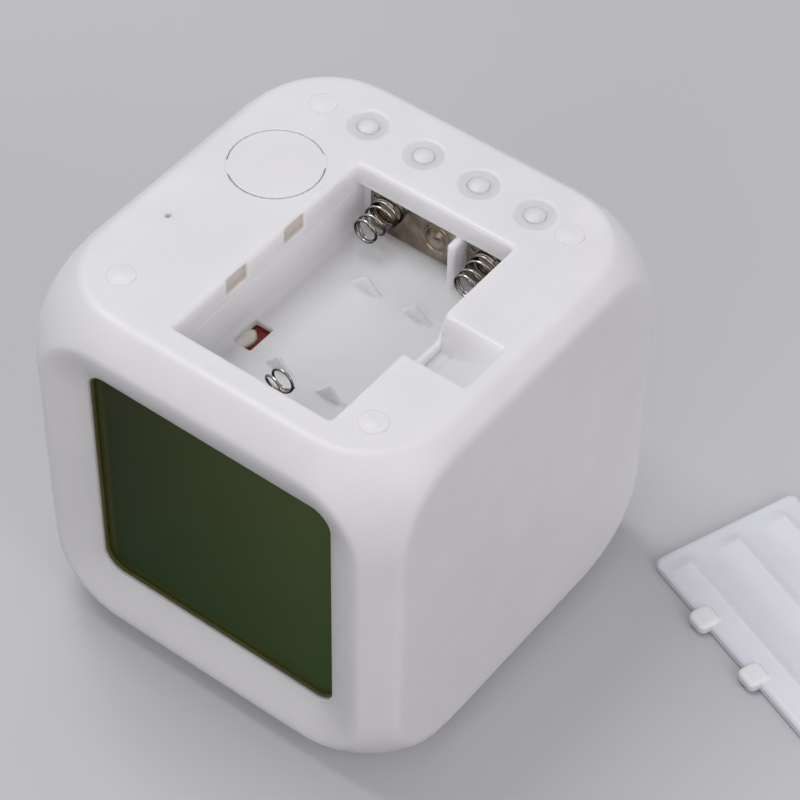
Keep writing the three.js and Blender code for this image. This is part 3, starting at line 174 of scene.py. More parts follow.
PINHOLE_SPOT = (-29.95, -11.5)
PINHOLE_RADIUS = 0.45

# Battery door in its own flat frame: u along its length, v across from the tab side
DOOR_SIZE = (49.2, 32.8, 1.8)
DOOR_PLACE = (46.9, 33.1)
DOOR_TURN = -21.0
DOOR_LIFT = 0.12
DOOR_RADIUS = 1.9
DOOR_TOP_ROUND = 1.5
DOOR_UNDER_ROUND = 0.5
DOOR_FIELD_LOW = (-0.8, -2.8, -0.5)
DOOR_FIELD_HIGH = (50.0, 41.4, 6.6)
DOOR_CELL = 0.32
RIB_V = (5.5, 16.4, 27.3)
RIB_RUN = 5.0
RIB_FALL = 1.9
RIB_HEIGHT = 1.0
RIB_FOOT = 0.1
RIB_INSET = 1.6
RIB_FADE = 3.4
TAB_U = (16.375, 31.775)
TAB_V = 0.15
TAB_HALF = (2.4, 2.3)
TAB_RADIUS = 1.3
TAB_HEIGHT = 0.75
TAB_SLOPE = 0.06
TAB_DEPTH = 1.4
TAB_BASE = 0.15
LATCH_U = (24.025 - 4.3, 24.025 + 4.3)
LATCH_LEG_V = DOOR_SIZE[1] + 3.8
LATCH_PAD = 4.0
LATCH_HEIGHT = 6.0

# Battery springs, contact plates and the glue bead
SPRING_TURNS = (1.7, 2.0, 1.1)
SPRING_BASE = 2.75
SPRING_TIP = 2.2
SPRING_WIRE = 0.26
SPRING_START_ANGLE = 0.9
SPRING_STEPS = 40
SPRING_SMOOTHING = 15
SPRING_TIP_PITCH = 0.55
REAR_SPRING = 6.4
FRONT_SPRING = 8.9
REAR_FACE = 19.3
FRONT_FACE = -31.65
PLATE_MID_Z = 70.7
PLATE_HALF_Z = 4.4
PLATE_THICK = 0.4
PLATE_CELL = 0.16
PLATE_HOLE_RADIUS = 0.5
BUTTON_RADIUS = 2.8
BUTTON_SINK = 1.6
BUTTON_GROOVE = (3.0, 0.26)
PLATE_DOMES = {
    "rear_bridge_plate": (LANE_X[1],),
    "rear_terminal_plate": (),
    "front_terminal_plate": (LANE_X[0],),
    "front_bridge_plate": (LANE_X[2],),
}
BEAD_SHIFT = (-0.8, -0.6)
BEAD_GROW = (1.3, 1.1)


# Small helpers for meshes, all in millimetres until the last step

def add_object(name, data):
    made = bpy.data.objects.new(name, data)
    bpy.context.scene.collection.objects.link(made)
    return made


def make_piece(name, points, faces, material):
    mesh = bpy.data.meshes.new(name)
    mesh.from_pydata((np.asarray(points, float) * MM).tolist(), [], [list(map(int, f)) for f in faces])
    mesh.validate()
    mesh.polygons.foreach_set("use_smooth", [True] * len(mesh.polygons))
    mesh.materials.append(material)
    return add_object(name, mesh)


def dress(piece, body, slot_name, *nodes):
    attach(piece, body)
    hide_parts(*nodes)


def centre_of(node):
    low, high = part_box(node)
    return (np.array(low) + np.array(high)) / 2 / MM


def soft_max(a, b, blend):
    """The larger of two distances, rounded over this many millimetres where they meet."""
    overlap = np.maximum(blend - np.abs(a - b), 0) / blend
    return np.maximum(a, b) + overlap * overlap * blend / 4


def soft_min(a, b, blend):
    return -soft_max(-a, -b, blend)


def rounded_rect(x, y, half_x, half_y, radius):
    qx = np.abs(x) - half_x + radius
    qy = np.abs(y) - half_y + radius
    return np.hypot(np.maximum(qx, 0), np.maximum(qy, 0)) + np.minimum(np.maximum(qx, qy), 0) - radius


def span(value, low, high):
    return np.maximum(low - value, value - high)


def box_distance(qx, qy, qz):
    """Distance to a block, from how far a place lies beyond each pair of its faces."""
    outside = np.sqrt(np.maximum(qx, 0) ** 2 + np.maximum(qy, 0) ** 2 + np.maximum(qz, 0) ** 2)
    return outside + np.minimum(np.maximum(np.maximum(qx, qy), qz), 0)


def brick(x, y, z, xs, ys, zs, radius=0.0):
    beyond = [span(c, *ends) + radius for c, ends in ((x, xs), (y, ys), (z, zs))]
    return box_distance(*beyond) - radius


def rod(x, y, spot, radius):
    return np.hypot(x - spot[0], y - spot[1]) - radius


def well(x, y, z, spot, radius, depth):
    return np.maximum(rod(x, y, spot, radius), HEIGHT - depth - z)


def points_of(piece):
    points = np.empty(len(piece.data.vertices) * 3)
    piece.data.vertices.foreach_get("co", points)
    return points.reshape(-1, 3) / MM


def paint(piece, name, amounts):
    """A number between 0 and 1 on every point, for a material to read by name."""
    mark = piece.data.attributes.new(name, "FLOAT", "POINT")
    mark.data.foreach_set("value", np.clip(amounts, 0, 1))


# The case block: flat faces that meet a round-edged block along soft creases

def block_distance(x, y, z, inset):
    middle = (BLOCK_LOW + BLOCK_HIGH) / 2
    half = (BLOCK_HIGH - BLOCK_LOW) / 2 - CORNER_RADIUS
    beyond = [np.abs(c - m) - h for c, m, h in zip((x, y, z), middle, half)]
    return box_distance(*beyond) - CORNER_RADIUS + inset


def case_block(x, y, z):
    faces = np.maximum(np.abs(x) - HALF_WIDTH, np.maximum(span(y, -FRONT, REAR), span(z, 0, HEIGHT)))
    return soft_max(block_distance(x, y, z, 0), faces, CREASE_BLEND)


def dish_y(x, z):
    """The frame falls gently from its ridge and turns in more steeply towards the window."""
    share = np.maximum(rounded_rect(x, z - DISPLAY_Z, *WINDOW_HALF, WINDOW_RADIUS), 0) / DISH_RUN
    curve = np.where(share < 1, 1.5 * share - 0.5 * share * share, 0.5 + 0.5 * share)
    return WINDOW_Y - DISH_DEPTH * curve


def case_outside(x, y, z):
    return soft_max(case_block(x, y, z), dish_y(x, z) - y, RIDGE_BLEND)


def case_inside(x, y, z):
    low_y = WINDOW_Y + LIP_THICK
    faces = np.maximum(
        np.abs(x) - HALF_WIDTH + WALL,
        np.maximum(span(y, low_y, REAR - WALL), span(z, WALL, HEIGHT - COVER_THICK - COVER_LEDGE[1])),
    )
    return soft_max(block_distance(x, y, z, WALL), faces, CREASE_BLEND)


def cast(field, start, aim, reach):
    """Where rays from inside the field leave it, found by halving."""
    near = np.zeros(start.shape[:-1])
    far = np.full(start.shape[:-1], reach)
    for _ in range(HALVINGS):
        mid = (near + far) / 2
        p = start + aim * mid[..., None]
        within = field(p[..., 0], p[..., 1], p[..., 2]) < 0
        near = np.where(within, mid, near)
        far = np.where(within, far, mid)
    return start + aim * near[..., None]


def unit(aim):
    return aim / np.linalg.norm(aim, axis=-1, keepdims=True)


# Rays fan out from each face to its edges, closest together where the creases are
EDGE_ANGLES = np.array([
    0, 15, 23, 27.5, 29.8, 30.8, 31.5, 32.2, 32.9, 33.6, 34.6,
    36, 37, 37.8, 38.5, 39.2, 39.9, 40.6, 41.4, 42.4, 43.6, 45,
])


def case_face(field, axis, sign):
    """A grid of points on one side of the case, out to the middle of its rounded edges."""
    sides = np.repeat([-1, 1], len(EDGE_ANGLES))
    angles = np.concatenate([EDGE_ANGLES[::-1], EDGE_ANGLES])
    lines = np.arange(len(angles))
    i, j = np.meshgrid(lines, lines, indexing="ij")
    start = np.zeros(i.shape + (3,))
    aim = np.zeros_like(start)
    u, v = (axis + 1) % 3, (axis + 2) % 3
    for k, line in ((u, i), (v, j)):
        low, high = BLOCK_LOW[k] + CORNER_RADIUS, BLOCK_HIGH[k] - CORNER_RADIUS
        start[..., k] = np.where(sides[line] > 0, high, low)
        aim[..., k] = sides[line] * np.tan(np.radians(angles[line]))
    start[..., axis] = BLOCK_HIGH[axis] - CORNER_RADIUS if sign > 0 else BLOCK_LOW[axis] + CORNER_RADIUS
    aim[..., axis] = sign
    return cast(field, start, unit(aim), 3 * CORNER_RADIUS)


class Skin:
    """Points and faces of one mesh, gathered grid by grid and ring by ring."""

    def __init__(self):
        self.points = []
        self.faces = []
        self.known = {}

    def point(self, p):
        key = tuple(np.round(np.asarray(p) * MERGES_PER_MM).astype(int))
        if key not in self.known:
            self.known[key] = len(self.points)
            self.points.append(p)
        return self.known[key]

    def quad(self, ring, flip):
        ring = [n for k, n in enumerate(ring) if n != ring[k - 1]]
        if len(ring) > 2:
            self.faces.append(ring[::-1] if flip else ring)

    def grid(self, points, flip=False):
        ids = [[self.point(p) for p in row] for row in points]
        for a, b in zip(ids, ids[1:]):
            for k in range(len(a) - 1):
                self.quad([a[k], b[k], b[k + 1], a[k + 1]], flip)

    def rings(self, points, flip=False):
        self.grid([np.concatenate([ring, ring[:1]]) for ring in points], flip)


def border(grid):
    """The points round the edge of a grid, in order."""
    return np.concatenate([grid[:-1, 0], grid[-1, :-1], grid[:0:-1, -1], grid[0, :0:-1]])


def onto_rect(directions, half_x, half_y, radius):
    """Where rays from the middle in these directions meet a rounded rectangle."""
    def rect(x, y, z):
        return rounded_rect(x, y, half_x, half_y, radius)

    aim = np.column_stack([directions, np.zeros(len(directions))])
    return cast(rect, np.zeros_like(aim), aim, RAY_REACH)[:, :2]


# Openings in the case: axis, side, middle, half sizes, corner radius, first growth, start of the rays
DISPLAY_OPENING = (1, -1, (0, DISPLAY_Z), WINDOW_HALF, WINDOW_RADIUS, LIP_START, FRONT_CAST_Y)
COVER_OPENING = (2, 1, (0, 0), (COVER_HALF, COVER_HALF), COVER_RADIUS, -SEAM_LAP, BASE_CAST_Z)


def opening_rings(field, opening, steps, lip=(), rise=0.0):
    """Rings from the case edge in to an opening, then round its lip, given as pairs of growth and level."""
    axis, sign, middle, half, radius, first_grow, cast_from = opening
    edge = border(case_face(field, axis, sign))
    flat = np.delete(edge, axis, 1) - middle
    aim = unit(flat)

    def outline(grow):
        return onto_rect(aim, *(h + grow for h in half), radius + grow)

    def at_level(spot, level):
        return np.insert(spot + middle, axis, level, 1)

    first = outline(first_grow)
    rings = [edge]
    for share in np.linspace(0, 1, steps)[1:]:
        start = at_level(flat + (first - flat) * share, cast_from)
        ring = cast(field, start, np.eye(3)[axis] * sign, CAST_REACH)
        ring[:, axis] += rise * share ** 4
        rings.append(ring)
    return rings + [at_level(outline(grow), level) for grow, level in lip]


def build_case(material):
    """The five-sided case with its wall: outer skin, inner skin and the two lips that join them."""
    skin = Skin()
    lip_y = WINDOW_Y - math.tan(LIP_TILT) * LIP_START + LIP_ROUND * math.cos(LIP_TILT)
    turns = np.linspace(LIP_TILT, math.pi / 2, 7)[1:]
    window = [(LIP_ROUND * (1 - math.sin(a)), lip_y - LIP_ROUND * math.cos(a)) for a in turns]
    window += [(0, WINDOW_Y + LIP_THICK), (1.2, WINDOW_Y + LIP_THICK)]
    ledge_z = HEIGHT - COVER_THICK - 0.1
    rim = [(-SEAM_LAP - 0.2, HEIGHT - 1.2), (0.02, HEIGHT - 1.6), (0.02, ledge_z)]
    rim += [(-COVER_LEDGE[0], ledge_z), (-COVER_LEDGE[0], ledge_z - COVER_LEDGE[1])]
    for axis, sign in ((0, 1), (0, -1), (1, 1), (2, -1)):
        skin.grid(case_face(case_outside, axis, sign), sign < 0)
        skin.grid(case_face(case_inside, axis, sign), sign > 0)
    outer = opening_rings(case_outside, DISPLAY_OPENING, 44, window)
    inner = opening_rings(case_inside, DISPLAY_OPENING, 12)
    skin.rings(outer + inner[::-1])
    outer = opening_rings(case_outside, COVER_OPENING, 26, rim, SEAM_RISE)
    inner = opening_rings(case_inside, COVER_OPENING, 4)[:-1]
    skin.rings(outer + inner[::-1], flip=True)
    piece = make_piece("moulded_case", skin.points, skin.faces, material)
    x, y, z = points_of(piece).T
    from_window = rounded_rect(x, z - DISPLAY_Z, *WINDOW_HALF, WINDOW_RADIUS)
    lip = (y < FRONT_CAST_Y) & (from_window < LIP_START + 0.05)
    set_normals(piece, case_outside, lip | (np.abs(case_outside(x, y, z)) > 0.05))
    paint(piece, "solid", rim_share(x, y, z))
    return piece


# Moulded pieces with soft edges, drawn as the zero surface of a distance field

def slope_of(field, p, step=0.02):
    parts = [field(*(p + shift).T) - field(*(p - shift).T) for shift in np.eye(3) * step]
    return np.column_stack(parts) / (2 * step)


def zero_surface(field, low, high, cell):
    """One point in each cell that the surface crosses, drawn onto the surface, and quads between them."""
    low = np.array(low, float)
    counts = np.ceil((np.array(high) - low) / cell).astype(int) + 1
    lines = [low[k] + cell * np.arange(counts[k]) for k in range(3)]
    block = 6
    coarse = [line[::block] + cell * (block - 1) / 2 for line in lines]
    guess = field(*np.meshgrid(*coarse, indexing="ij"))
    for k in range(3):
        guess = np.repeat(guess, block, axis=k)
    value = guess[:counts[0], :counts[1], :counts[2]].copy()
    near = np.argwhere(np.abs(value) < 1.3 * cell * block)
    value[tuple(near.T)] = field(*(low + cell * near).T)
    inside = value < 0
    corners = [(i, j, k) for i in (0, 1) for j in (0, 1) for k in (0, 1)]
    n = counts - 1
    tally = sum(inside[i:i + n[0], j:j + n[1], k:k + n[2]].astype(np.int8) for i, j, k in corners)
    active = (tally > 0) & (tally < 8)
    spots = np.argwhere(active)
    number = np.full(active.shape, -1)
    number[active] = np.arange(len(spots))
    total = np.zeros((len(spots), 3))
    hits = np.zeros(len(spots))
    for a in corners:
        for axis in range(3):
            if a[axis]:
                continue
            step = np.eye(3, dtype=int)[axis]
            va = value[tuple((spots + a).T)]
            vb = value[tuple((spots + a + step).T)]
            crossed = (va < 0) != (vb < 0)
            share = np.where(crossed, va / np.where(crossed, va - vb, 1), 0)
            total += crossed[:, None] * (np.array(a) + share[:, None] * step)
            hits += crossed
    points = low + cell * (spots + total / hits[:, None])
    for _ in range(2):
        slope = slope_of(field, points)
        length = np.maximum((slope ** 2).sum(1), 0.2)
        move = slope * (field(*points.T) / length)[:, None]
        points -= np.clip(move, -0.3 * cell, 0.3 * cell)
    quads = []
    for axis in range(3):
        u, v = (axis + 1) % 3, (axis + 2) % 3
        step, du, dv = np.eye(3, dtype=int)[[axis, u, v]]
        first = inside[tuple(slice(None, -1) if k == axis else slice(1, -1) for k in range(3))]
        second = inside[tuple(slice(1, None) if k == axis else slice(1, -1) for k in range(3))]
        at = np.argwhere(first != second) + du + dv
        ring = np.column_stack([number[tuple(c.T)] for c in (at - du - dv, at - dv, at, at - du)])
        out = inside[tuple(at.T)]
        quads.append(np.where(out[:, None], ring, ring[:, ::-1]))
    return points, np.concatenate(quads)


def thin_flats(piece, degrees):
    """Merge the flat runs of a dense mesh into large faces, cut into triangles."""
    work = bmesh.new()
    work.from_mesh(piece.data)
    bmesh.ops.dissolve_limit(work, angle_limit=math.radians(degrees), verts=work.verts, edges=work.edges)
    bmesh.ops.triangulate(work, faces=work.faces)
    work.to_mesh(piece.data)
    work.free()


def set_normals(piece, field, left_out=None):
    """Smooth normals straight from the distance field, so that large flat faces stay flat to the eye.
    Points in left_out keep those of the mesh."""
    mesh = piece.data
    points = points_of(piece)
    slope = slope_of(field, points)
    slope /= np.maximum(np.linalg.norm(slope, axis=1, keepdims=True), 1e-9)
    if left_out is not None:
        slope[left_out] = 0
    mesh.polygons.foreach_set("use_smooth", [True] * len(mesh.polygons))
    mesh.normals_split_custom_set_from_vertices(slope.tolist())


KEY_SPOTS = [centre_of(node)[:2] for node in KEY_NODES]
FOOT_SPOTS = [centre_of(node)[:2] for node in FOOT_NODES]


def pocket_slope_z(x):
    """Height of the pocket floor where it climbs to the right."""
    return POCKET_Z + (x - STRIP_X1 - POCKET_FLAT) * POCKET_RISE


def cover_body(x, y, z):
    """The cover before anything is cut: plate, battery box, pocket body and foot bosses."""
    plate = rounded_rect(x, y, COVER_HALF, COVER_HALF, COVER_RADIUS)
    body = np.maximum(plate, HEIGHT - COVER_THICK - z)
    box_x = (INNER_X[0] - BOX_WALL, INNER_X[1] + BOX_WALL)
    box_y = (CONTACT_Y[0] - BOX_WALL, CONTACT_Y[1] + BOX_WALL)
    body = np.minimum(body, brick(x, y, z, box_x, box_y, (FLOOR_Z - BOX_WALL, OPEN_TOP)))
    sloped = (pocket_slope_z(x) - POCKET_FLOOR - z) / math.hypot(1, POCKET_RISE)
    under = np.maximum(POCKET_Z - BOX_WALL - z, sloped)
    sides = np.maximum(span(y, POCKET_Y[0] - BOX_WALL, POCKET_Y[1] + BOX_WALL), INNER_X[1] - x)
    body = np.minimum(body, np.maximum(np.maximum(under, sides), x - POCKET_X1 - BOX_WALL))
    for spot in FOOT_SPOTS:
        body = np.minimum(body, well(x, y, z, spot, *FOOT_BOSS))
    return soft_max(np.maximum(body, case_block(x, y, z)), plate, COVER_EDGE)


def finger_pocket(x, y, z):
    """A shelf over the catch strip, a floor that climbs to the right, and a rear wall that is steep
    beside the strip and leans back further along."""
    along = np.clip((x - STRIP_X1) / WALL_LEAN_RUN, 0, 1)
    lean = WALL_LEAN[0] + (WALL_LEAN[1] - WALL_LEAN[0]) * along
    climb = np.clip((y - POCKET_Y[1] + lean) / lean, 0, 1) ** WALL_CURVE
    deep_z = np.maximum(POCKET_Z, pocket_slope_z(x))
    deep_z = deep_z + (HEIGHT - deep_z) * climb
    deep = np.maximum(STRIP_X1 - x, (deep_z - z) * STEEP_SHARE)
    shelf_z = STRIP_Z + (HEIGHT - STRIP_Z) * climb
    shelf_x = np.maximum(INNER_X[1] - SHELF_LAP - x, x - STRIP_X1 - SHELF_LAP)
    shelf = np.maximum(shelf_x, (shelf_z - z) * STEEP_SHARE)
    half_y = (POCKET_Y[1] - POCKET_Y[0]) / 2
    across = rounded_rect(x - POCKET_MID_X, y - POCKET_MID_Y, POCKET_HALF_X, half_y, POCKET_CORNER)
    return soft_max(np.minimum(deep, shelf), across, POCKET_FILLET)


def battery_hollow(x, y, z):
    """The compartment: door seat, ledges and contact room, opened to the right by the finger pocket."""
    mid = (sum(BAY_X) / 2, sum(BAY_Y) / 2)
    half = ((BAY_X[1] - BAY_X[0]) / 2, (BAY_Y[1] - BAY_Y[0]) / 2)
    mouth = np.maximum(rounded_rect(x - mid[0], y - mid[1], *half, BAY_RADIUS), SEAT_Z - z)
    ledge = brick(x, y, z, INNER_X, LEDGE_Y, (LIP_Z - ROOT, OPEN_TOP))
    room = brick(x, y, z, INNER_X, CONTACT_Y, (FLOOR_Z, LIP_Z), NARROW_FILLET)
    at_rear = np.clip((y - POCKET_MID_Y) / 2, 0, 1)
    hollow = soft_min(mouth, finger_pocket(x, y, z), 0.5 + 1.3 * at_rear)
    return soft_min(soft_min(hollow, ledge, WIDE_FILLET), room, WIDE_FILLET)


def add_fittings(body, x, y, z):
    """Cell rests, a slant along the left wall and two posts, all on the compartment floor."""
    below = FLOOR_Z - ROOT - z
    for cx in DIVIDE_X:
        reach = np.abs(x - cx)
        top = FLOOR_Z + CUSP_HEIGHT * np.maximum(1 - reach / CUSP_REACH, 0) ** 1.25
        for cy in CUSP_Y:
            plan = np.maximum(np.abs(y - cy) - CUSP_HALF, reach - CUSP_REACH)
            cusp = np.maximum((z - top) * 0.7, plan)
            body = soft_min(body, np.maximum(cusp, below), NARROW_FILLET)
    slant = (x - INNER_X[0] + z - FLOOR_Z - SLANT_LEG) / math.sqrt(2)
    slant = np.maximum(np.maximum(slant, INNER_X[0] - ROOT - x), below)
    slant = np.maximum(slant, span(y, *CONTACT_Y))
    body = soft_min(body, slant, SOFT_FILLET)
    rear_post = (LEDGE_Y[1] - POST_DEPTH, CONTACT_Y[1] + ROOT)
    front_post = (CONTACT_Y[0] - ROOT, LEDGE_Y[0] + POST_DEPTH)
    post_z = (FLOOR_Z - ROOT, LIP_Z + 0.2)
    for cx, post_y in ((DIVIDE_X[1], rear_post), (DIVIDE_X[0], front_post)):
        post = brick(x, y, z, (cx - POST_HALF, cx + POST_HALF), post_y, post_z, WIDE_FILLET)
        body = soft_min(body, post, FILLET)
    return body


def cut_openings(body, x, y, z):
    """The opening over the light board, key rings and holes, foot seats, disc hole and sound hole."""
    body = soft_max(body, -brick(x, y, z, PEEP_X, PEEP_Y, PEEP_Z, FILLET), FILLET)
    for spot in KEY_SPOTS:
        body = soft_max(body, -well(x, y, z, spot, KEY_RING_RADIUS, KEY_RING_DEPTH), SOFT_FILLET)
        body = soft_max(body, -rod(x, y, spot, KEY_HOLE_RADIUS), FINE_FILLET)
    for spot in FOOT_SPOTS:
        seat = well(x, y, z, spot, *FOOT_SEAT)
        body = np.maximum(body, -np.minimum(seat, rod(x, y, spot, SCREW_HOLE_RADIUS)))
    body = soft_max(body, -well(x, y, z, DISC_SPOT, DISC_HOLE_RADIUS, HOLE_DEPTH), FINE_FILLET)
    return np.maximum(body, -well(x, y, z, PINHOLE_SPOT, PINHOLE_RADIUS, HOLE_DEPTH))


def cover_field(x, y, z):
    # the edges of the mouth are rounder than those inside, and crisper again at the pocket
    at_pocket = np.clip((x - INNER_X[1]) / 1.5, 0, 1)
    at_mouth = np.clip((z - MOUTH_ROUND[0]) / (MOUTH_ROUND[1] - MOUTH_ROUND[0]), 0, 1)
    edge = 0.35 + (0.6 - 0.45 * at_pocket) * at_mouth
    body = soft_max(cover_body(x, y, z), -battery_hollow(x, y, z), edge)
    for notch_y in NOTCH_Y:
        body = soft_max(body, -brick(x, y, z, NOTCH_X, notch_y, NOTCH_Z, FINE_FILLET), FILLET)
    return cut_openings(add_fittings(body, x, y, z), x, y, z)


def rim_share(x, y, z):
    """One at the joint between case and cover, falling to nothing a few millimetres away."""
    away = np.abs(rounded_rect(x, y, COVER_HALF, COVER_HALF, COVER_RADIUS))
    return np.where(z > HEIGHT - 4, np.clip(1.25 - away / 4, 0, 1), 0)


def ring_share(x, y, z):
    """One on the floor of each key ring, where the skin is at its thinnest: the material paints it greyer,
    painted shade for the dark inside showing through.
    """
    amount = np.zeros(len(x))
    for spot in KEY_SPOTS:
        within = np.clip((KEY_RING_RADIUS + 0.1 - rod(x, y, spot, 0)) / 0.2, 0, 1)
        amount = np.maximum(amount, within * np.clip((HEIGHT - 0.02 - z) / 0.22, 0, 1))
    return amount


def notch_share(x, y, z):
    """One on the back wall of each notch, where the skin is at its thinnest: the material paints it a
    darker, warmer tone, painted shade for the inside showing through.
    """
    amount = np.zeros(len(x))
    for notch_y in NOTCH_Y:
        outside = np.maximum(span(y, *notch_y), span(z, *NOTCH_Z))
        amount = np.maximum(amount, np.clip((0.25 - outside) / 0.2, 0, 1))
    return amount * np.clip((INNER_X[0] - 0.3 - x) / 0.4, 0, 1)


def build_cover(material):
    reach = COVER_HALF + FIELD_MARGIN
    low = (-reach, -reach, FLOOR_Z - BOX_WALL - FIELD_MARGIN)
    high = (reach, reach, HEIGHT + FIELD_MARGIN)
    points, quads = zero_surface(cover_field, low, high, COVER_CELL)
    piece = make_piece("base_cover_moulding", points, quads, material)
    thin_flats(piece, FLAT_ANGLE)
    set_normals(piece, cover_field)
    x, y, z = points_of(piece).T
    # painted shade on the floors of the key rings
    paint(piece, "painted_ring_shade", ring_share(x, y, z))
    # painted shade on the back walls of the notches
    paint(piece, "painted_notch_shade", notch_share(x, y, z))
    feet = [np.clip(2 - rod(x, y, spot, 0) / 3.2, 0, 1) for spot in FOOT_SPOTS]
    edge = np.clip(1.6 - np.abs(rod(x, y, DISC_SPOT, DISC_HOLE_RADIUS)) / 2.5, 0, 1)
    paint(piece, "solid", np.max([rim_share(x, y, z), edge, *feet], axis=0))
    return piece


def door_field(u, v, z):
    """The lid with its cell ridges, two hook tabs and the bent latch."""
    length, width, thick = DOOR_SIZE
    outline = rounded_rect(u - length / 2, v - width / 2, length / 2, width / 2, DOOR_RADIUS)
    lid = soft_max(outline, z - thick, DOOR_TOP_ROUND)
    lid = soft_max(lid, -z, DOOR_UNDER_ROUND)
    fade = np.clip((length / 2 - RIB_INSET - np.abs(u - length / 2)) / RIB_FADE, 0, 1)
    fade = fade * fade * (3 - 2 * fade)
    for spot in RIB_V:
        crest = RIB_HEIGHT * (1 - np.maximum((spot - v) / RIB_RUN, (v - spot) / RIB_FALL))
        rib = soft_max((z - thick + RIB_FOOT - (crest + RIB_FOOT) * fade) * 0.88, outline, 1.2)
        lid = soft_min(lid, np.maximum(rib, thick - 0.6 - z), FILLET)
    for spot in TAB_U:
        plan = rounded_rect(u - spot, v - TAB_V, *TAB_HALF, TAB_RADIUS)
        tongue = soft_max(plan, z - thick - TAB_HEIGHT - TAB_SLOPE * v, 1.0)
        tongue = soft_max(tongue, thick - TAB_DEPTH - z, 0.4)
        lid = soft_min(lid, tongue, FINE_FILLET)
    pad = brick(u, v, z, LATCH_U, (width - 1.5, LATCH_LEG_V + LATCH_PAD), (0.1, 1.4), FILLET)
    leg = brick(u, v, z, LATCH_U, (LATCH_LEG_V - 1, LATCH_LEG_V), (0.4, LATCH_HEIGHT), NARROW_FILLET)
    nose = brick(u, v, z, LATCH_U, (LATCH_LEG_V - 1.7, LATCH_LEG_V), (5.2, LATCH_HEIGHT), FILLET)
    lid = soft_min(lid, pad, 0.4)
    return soft_min(lid, soft_min(leg, nose, FILLET), 0.5)


def build_door(material, painted_light_tab_material):
    """The door is drawn flat in its own frame and then laid on the table where the photograph has it."""
    points, quads = zero_surface(door_field, DOOR_FIELD_LOW, DOOR_FIELD_HIGH, DOOR_CELL)
    piece = make_piece("battery_door_moulding", points, quads, material)
    thin_flats(piece, FLAT_ANGLE)
    set_normals(piece, door_field)
    # painted light: faces of the hook tabs take the second, lighter material
    piece.data.materials.append(painted_light_tab_material)
    for face in piece.data.polygons:
        u, v, z = face.center / MM
        near_tab = max(v, min(abs(u - spot) for spot in TAB_U)) < TAB_HALF[0]
        if near_tab and z > DOOR_SIZE[2] + TAB_BASE:
            face.material_index = 1
    turn = Matrix.Rotation(math.radians(DOOR_TURN), 4, "Z")
    place = Matrix.Translation(Vector((*DOOR_PLACE, DOOR_LIFT)) * MM) @ turn
    normals = [place.to_3x3() @ Vector(n.vector) for n in piece.data.corner_normals]
    piece.data.transform(place)
    piece.data.normals_split_custom_set([tuple(n) for n in normals])
    return piece


def turned(name, spot, z, profile, sides, material, wave=None):
    """A turned piece: radius and height pairs from the axis out and back, standing at spot."""
    skin = Skin()
    angles = np.arange(sides) * 2 * math.pi / sides
    rings = []
    for radius, height in profile:
        reach = np.full(sides, radius) if wave is None else wave(radius, angles)
        rings.append(np.column_stack([
            spot[0] + reach * np.cos(angles), spot[1] + reach * np.sin(angles), np.full(sides, z + height),
        ]))
    skin.rings(rings, flip=True)
    return make_piece(name, skin.points, skin.faces, material)


def arc(centre_r, centre_z, radius, start, stop, steps):
    """Profile points on a quarter round or part of one, angles in degrees."""
    turns = np.radians(np.linspace(start, stop, steps))
    return [(centre_r + radius * math.cos(a), centre_z + radius * math.sin(a)) for a in turns]


def build_key(node, material):
    """A flanged key with a low crown that starts just under the floor of its ring."""
    low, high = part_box(node)
    base = low[2] / MM
    rim = HEIGHT - KEY_RING_DEPTH - 0.06 - base
    crown = high[2] / MM - KEY_DROP - base
    flange, thick = KEY_FLANGE
    profile = [(0, 0), (flange - 0.1, 0), (flange, 0.1), (flange, thick - 0.1), (flange - 0.1, thick)]
    profile.append((KEY_RADIUS, thick))
    for t in np.linspace(0, 1, 12):
        profile.append((KEY_RADIUS * (1 - t), rim + (crown - rim) * (2 * t - t * t)))
    return turned("cap_" + node, centre_of(node), base, profile, 64, material)


def build_disc(material):
    """The press plate on its stem, a little wider at the two bridges that hold it."""
    def reach(radius, angles):
        offset = angles - math.radians(DISC_BRIDGE_TURN) + math.pi / 2
        turn = np.abs(np.mod(offset, math.pi) - math.pi / 2)
        bulge = 1 / (1 + np.exp((turn - math.radians(DISC_BRIDGE_HALF)) * 160))
        return radius + (DISC_BRIDGE_GROW * bulge if radius > 8 else 0)

    low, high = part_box("light_disc")
    base = high[2] / MM - DISC_THICK
    stem = low[2] / MM - base
    profile = [(0, stem), (DISC_STEM, stem), (DISC_STEM, 0)]
    profile += [(DISC_RADIUS - 0.1, 0), (DISC_RADIUS, 0.1), (DISC_RADIUS, DISC_THICK - 0.25)]
    profile += arc(DISC_RADIUS - DISC_ROUND, DISC_THICK - DISC_ROUND, DISC_ROUND, 0, 90, 4)
    profile += [(radius, DISC_THICK) for radius in (8.1, 6, 3, 0)]
    disc = turned("press_disc", DISC_SPOT, base, profile, 144, material, reach)
    paint(disc, "solid", np.ones(len(disc.data.vertices)))
    return disc


# Geometry node groups

def start_group(name, inputs):
    """A geometry group with a geometry in and out, and these named inputs."""
    group = bpy.data.node_groups.new(name, "GeometryNodeTree")
    group.interface.new_socket("Geometry", in_out="INPUT", socket_type="NodeSocketGeometry")
    for label, kind in inputs:
        group.interface.new_socket(label, in_out="INPUT", socket_type=kind)
    group.interface.new_socket("Geometry", in_out="OUTPUT", socket_type="NodeSocketGeometry")
    return group, add(group, "NodeGroupInput").outputs


def end_group(group, geometry, material):
    real = add(group, "GeometryNodeRealizeInstances", {"Geometry": geometry})
    coat = add(group, "GeometryNodeSetMaterial", {
        "Geometry": real.outputs["Geometry"], "Material": material,
    })
    add(group, "NodeGroupOutput", {"Geometry": coat.outputs["Geometry"]})


